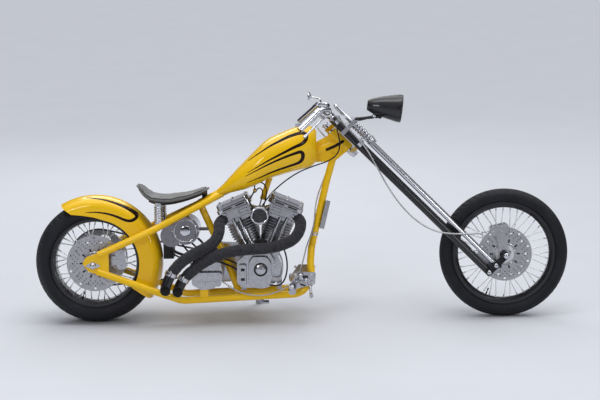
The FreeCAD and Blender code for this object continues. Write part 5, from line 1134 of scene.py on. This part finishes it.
def band_round(middle, way, wide, proud):
    """Ring round a tube; rays from four sides find the tube's middle and its radius."""
    first, second, along = facing(way)
    centre = middle.copy()
    reach = 1.0
    for side in (first, second):
        hits = [off_bike(down_frame.ray_cast(Vector(on_bike(middle + out * 0.06)), leaned(-out))[0])
                for out in (side, -side)]
        centre = centre + side * float(((hits[0] + hits[1]) / 2 - middle) @ side)
        reach = min(reach, float(np.linalg.norm(hits[0] - hits[1])) / 2)
    profile = [(reach - 0.001, -wide / 2), (reach + proud * 0.7, -wide / 2), (reach + proud, -wide * 0.4),
               (reach + proud, wide * 0.4), (reach + proud * 0.7, wide / 2), (reach - 0.001, wide / 2)]
    return turned(profile, centre, along, 48, closed=True)


rings = []
for low, high in (((1.1805, 0, 0.452), (1.1835, 0, 0.47)), ((1.2395, 0, 0.756), (1.244, 0, 0.776))):
    low, high = np.array(low), np.array(high)
    far = np.linalg.norm(high - low)
    way = (high - low) / far
    rings.append(band_round(low + way * far / 2, way, 0.011, 0.003))
    rings.append(band_round(low + way * (far / 2 + 0.013), way, 0.0035, 0.002))
fitting("frame_bands", rings, chrome, "chassis")
box = panel(oblong((1.171, 0.372), 0.014, 0.025, 0.006, -0.16), 0.012, 0.036, 0.004)
fitting("downtube_box", [box], polished, "chassis", smooth=False)

# Lamp arms and knuckle

arms = []
for side, _ in sides:
    arm_line = flowing([(1424, side * 13, 1079), (1446, side * 13, 1080), (1476, side * 12, 1089),
                        (1514, side * 11, 1097)], "lamp_arm")
    arms.append(piped(arm_line, 0.0062, 14))
fitting("lamp_arms", arms, gloss_black, "front_fork", place=np.asarray)
knuckle_middle = np.array([1.514, 0.0, 1.097])
fitting("lamp_knuckle", [
    turned([(0.0015, -0.019), (0.0095, -0.018), (0.0115, -0.015), (0.0115, 0.015), (0.0095, 0.018),
            (0.0015, 0.019)], knuckle_middle, across, 28),
    turned([(0.0015, -0.023), (0.006, -0.023), (0.006, 0.023), (0.0015, 0.023)], knuckle_middle, across, 6),
    turned([(0.0088, -0.004), (0.0098, 0.0), (0.0098, 0.026), (0.008, 0.03)], (1.516, 0.0, 1.0965),
           (1, 0, 0.12), 24),
], chrome, "front_fork")

# Nut under the steering stem

stem_nut = turned([(0.0015, 0.0235), (0.012, 0.023), (0.019, 0.019), (0.019, 0.004), (0.0235, 0.002),
                   (0.0235, -0.002)], up * 0.966, -up, 32)
fitting("stem_nut", [stem_nut], chrome, "front_fork", place=forked)

# Brake discs: drillings and slots as near-black facings of painted shade, and rings round the carrier

hole_size = 0.0031
hole_profile = [(0.0004, 0.0003), (hole_size, 0.0003), (hole_size, -0.0004)]
for label, body, hub, _, disc_y in wheels:
    outer_y, inner_y = disc_y - 0.0052, disc_y + 0.0002
    dots = []
    for ring, count, offset in ((0.096, 24, 0), (0.109, 28, 0.5), (0.122, 32, 0)):
        for spot in round_about(hub, ring, 360 * (np.arange(count) + offset) / count):
            for level, way in ((outer_y, -1), (inner_y, 1)):
                dots.append(turned(hole_profile, spot + across * level, across * way, 8))
    for index in range(10):
        angle = 2 * math.pi * index / 10
        middle = hub[[0, 2]] + 0.073 * np.array([math.cos(angle), math.sin(angle)])
        dots.append(panel(oblong(middle, 0.0095, 0.0045, 0.004, angle), outer_y + 0.0002, 0.0006, 0.0003))
    fitting(label + "_disc_hole_shade", dots, seam_and_shade, body, smooth=False)
    ring_middle = hub + across * (outer_y - 0.0002)
    fitting(label + "_disc_rings", [
        turned([(0.058, 0.0), (0.058, 0.0022), (0.0605, 0.003), (0.063, 0.0022), (0.063, 0.0)],
               ring_middle, -across, 64, closed=True),
        turned([(0.026, 0.0), (0.026, 0.0035), (0.029, 0.005), (0.034, 0.0035), (0.036, 0.0)],
               ring_middle, -across, 64, closed=True),
    ], chrome, body)

# Caliper bolts, dropped straight onto the castings' outer faces

for node, body, spots in (
    ("front_caliper", "front_fork",
     ((2.145, 0.475), (2.145, 0.502), (2.19, 0.475), (2.19, 0.502), (2.205, 0.36))),
    ("rear_caliper", "chassis",
     ((0.105, 0.385), (0.105, 0.315), (0.145, 0.385), (0.145, 0.315), (0.125, 0.35))),
):
    casting = tree_of(nodes[node].data)
    hits = [casting.ray_cast(Vector(on_bike((x, -0.3, z))), leaned(across))[0] for x, z in spots]
    found = [off_bike(hit) for hit in hits if hit is not None]
    bolts(node + "_bolts", found, -across, 0.0048, 0.0048, chrome, body)

# Foot controls: cylinder, cap, rod, peg rings and bolts on each plate

cylinder_profile = [(0.0015, 0.0), (0.0095, 0.0005), (0.011, 0.003), (0.011, 0.052), (0.014, 0.054),
                    (0.014, 0.062), (0.009, 0.064), (0.009, 0.074), (0.0015, 0.076)]
cap_profile = [(0.0015, 0.0), (0.015, 0.0), (0.015, 0.024), (0.0165, 0.025), (0.0165, 0.031), (0.0145, 0.033),
               (0.0015, 0.0335)]
pivot_profile = [(0.0015, -0.009), (0.0085, -0.008), (0.0085, 0.008), (0.0015, 0.009)]
collar_profile = [(0.0185, 0.0), (0.0195, 0.002), (0.0195, 0.006), (0.0185, 0.008)]
peg_x, peg_z = 1.061, 0.191
for side, label in sides:
    y = side * 0.158
    parts = [
        turned(cylinder_profile, (1.078, y, 0.226), (1, 0, 0.1), 28),
        turned(cap_profile, (1.106, y, 0.235), up, 28),
        piped(np.linspace((1.15, y, 0.2335), (1.168, side * 0.15, 0.226), 8), 0.0035, 10),
        turned(pivot_profile, (1.152, side * 0.148, 0.219), across, 20),
    ]
    for peg_y in (0.16, 0.258):
        parts.append(turned(collar_profile, (peg_x, side * peg_y, peg_z), across * side, 32))
    for step in range(6):
        parts.append(ringed((peg_x, side * (0.178 + 0.013 * step), peg_z), across, 0.0182, 0.0018, 32, 8))
    fitting("foot_control_" + label, parts, chrome, "chassis")
    spots = [(x, side * 0.141, z) for x, z in ((1.078, 0.262), (1.165, 0.262), (1.17, 0.216), (1.1, 0.196))]
    bolts("foot_control_bolts_" + label, spots, across * side, 0.0052, 0.005, steel, "chassis")
    if label == "right":
        # Near-black plates over the slots of the right-hand plate: painted shade
        shapes = [oblong((1.125, 0.25), 0.022, 0.006, 0.005),
                  oblong((1.118, 0.205), 0.016, 0.0045, 0.004, -0.3)]
        plates = [panel(shape, -0.1408, 0.0012, 0.0005) for shape in shapes]
        fitting("foot_control_slot_shade", plates, seam_and_shade, "chassis", smooth=False)

# Step round the primary cover, and the bolts of its ring

fan = np.degrees(np.linspace(math.pi / 2, 3 * math.pi / 2, 24))
step_y = across * 0.2112
loop = np.concatenate([
    round_about(gearbox_centre + step_y, 0.094, fan), round_about(crank + step_y, 0.079, fan + 180),
])
fitting("primary_step", [piped(np.concatenate([loop, loop[:2]]), 0.0022, 10)], chrome, "chassis")
spots = round_about(gearbox_centre + across * 0.2178, 0.0665, np.arange(5) * 72 + 90)
bolts("primary_ring_bolts", spots, across, 0.0036, 0.0035, steel, "chassis")

# Floor, light and camera

floor_half = 40.0
floor = piece(
    "floor",
    [(-floor_half, -floor_half, 0), (floor_half, -floor_half, 0), (floor_half, floor_half, 0),
     (-floor_half, floor_half, 0)],
    [(0, 1, 2, 3)],
    concrete.material,
    smooth=False,
    place=np.asarray,
)

world = bpy.data.worlds.new("studio")
scene.world = world
world.use_nodes = True
air = world.node_tree
heading = air.nodes.new("ShaderNodeTexCoord")
split = air.nodes.new("ShaderNodeSeparateXYZ")
sky = air.nodes.new("ShaderNodeValToRGB")
air.links.new(heading.outputs["Object"], split.inputs["Vector"])
air.links.new(split.outputs["Z"], sky.inputs["Fac"])
air.links.new(sky.outputs["Color"], air.nodes["Background"].inputs["Color"])
sky.color_ramp.elements[0].position = 0.0
sky.color_ramp.elements[0].color = (0.5, 0.51, 0.55, 1)
sky.color_ramp.elements[1].position = 1.0
sky.color_ramp.elements[1].color = (0.62, 0.63, 0.67, 1)
for place, level in ((0.04, 0.34), (0.1, 0.05), (0.42, 0.05), (0.58, 0.5)):
    band = sky.color_ramp.elements.new(place)
    band.color = (level, level, level * 1.06, 1)
scene.view_settings.view_transform = "Standard"


def softbox(name, place, target, wide, high, power):
    """Rectangular lamp at a place, turned to a target."""
    light = bpy.data.lights.new(name, "AREA")
    light.shape = "RECTANGLE"
    light.size = wide
    light.size_y = high
    light.energy = power
    lamp = bpy.data.objects.new(name, light)
    lamp.location = place
    lamp.rotation_euler = (Vector(target) - Vector(place)).to_track_quat("-Z", "Y").to_euler()
    scene.collection.objects.link(lamp)


softbox("top_softbox", (0.2, -0.6, 5.4), (0, 0, 0.4), 5.0, 1.2, 50)
softbox("front_softbox", (-2.6, -4.6, 2.8), (0, 0, 0.5), 1.4, 1.0, 42)
softbox("nose_softbox", (3.4, -3.8, 2.4), (0.4, 0, 0.5), 0.9, 1.2, 26)
softbox("back_softbox", (-1.0, 4.4, 3.2), (0, 0, 0.5), 3.0, 1.2, 40)
sun_data = bpy.data.lights.new("sky_light", "SUN")
sun_data.energy = 1.45
sun_data.angle = math.radians(80)
sun = bpy.data.objects.new("sky_light", sun_data)
sun.rotation_euler = (math.radians(-14), math.radians(8), 0)
scene.collection.objects.link(sun)

camera_distance = 9.0
photo_width = 3.25
elevation = math.radians(12.3)
roll = math.radians(0.76)
aim = Vector(on_bike((1.109, 0, 0.648)))
away = Vector((0, -math.cos(elevation), math.sin(elevation)))
camera_data = bpy.data.cameras.new("photo_camera")
camera_data.sensor_width = 36.0
camera_data.lens = camera_data.sensor_width * camera_distance / photo_width
camera_data.clip_end = 200.0
camera = bpy.data.objects.new("photo_camera", camera_data)
camera.location = aim + away * camera_distance
camera.rotation_euler = (
    (-away).to_track_quat("-Z", "Y").to_matrix() @ Matrix.Rotation(-roll, 3, "Z")
).to_euler()
scene.collection.objects.link(camera)
scene.camera = camera
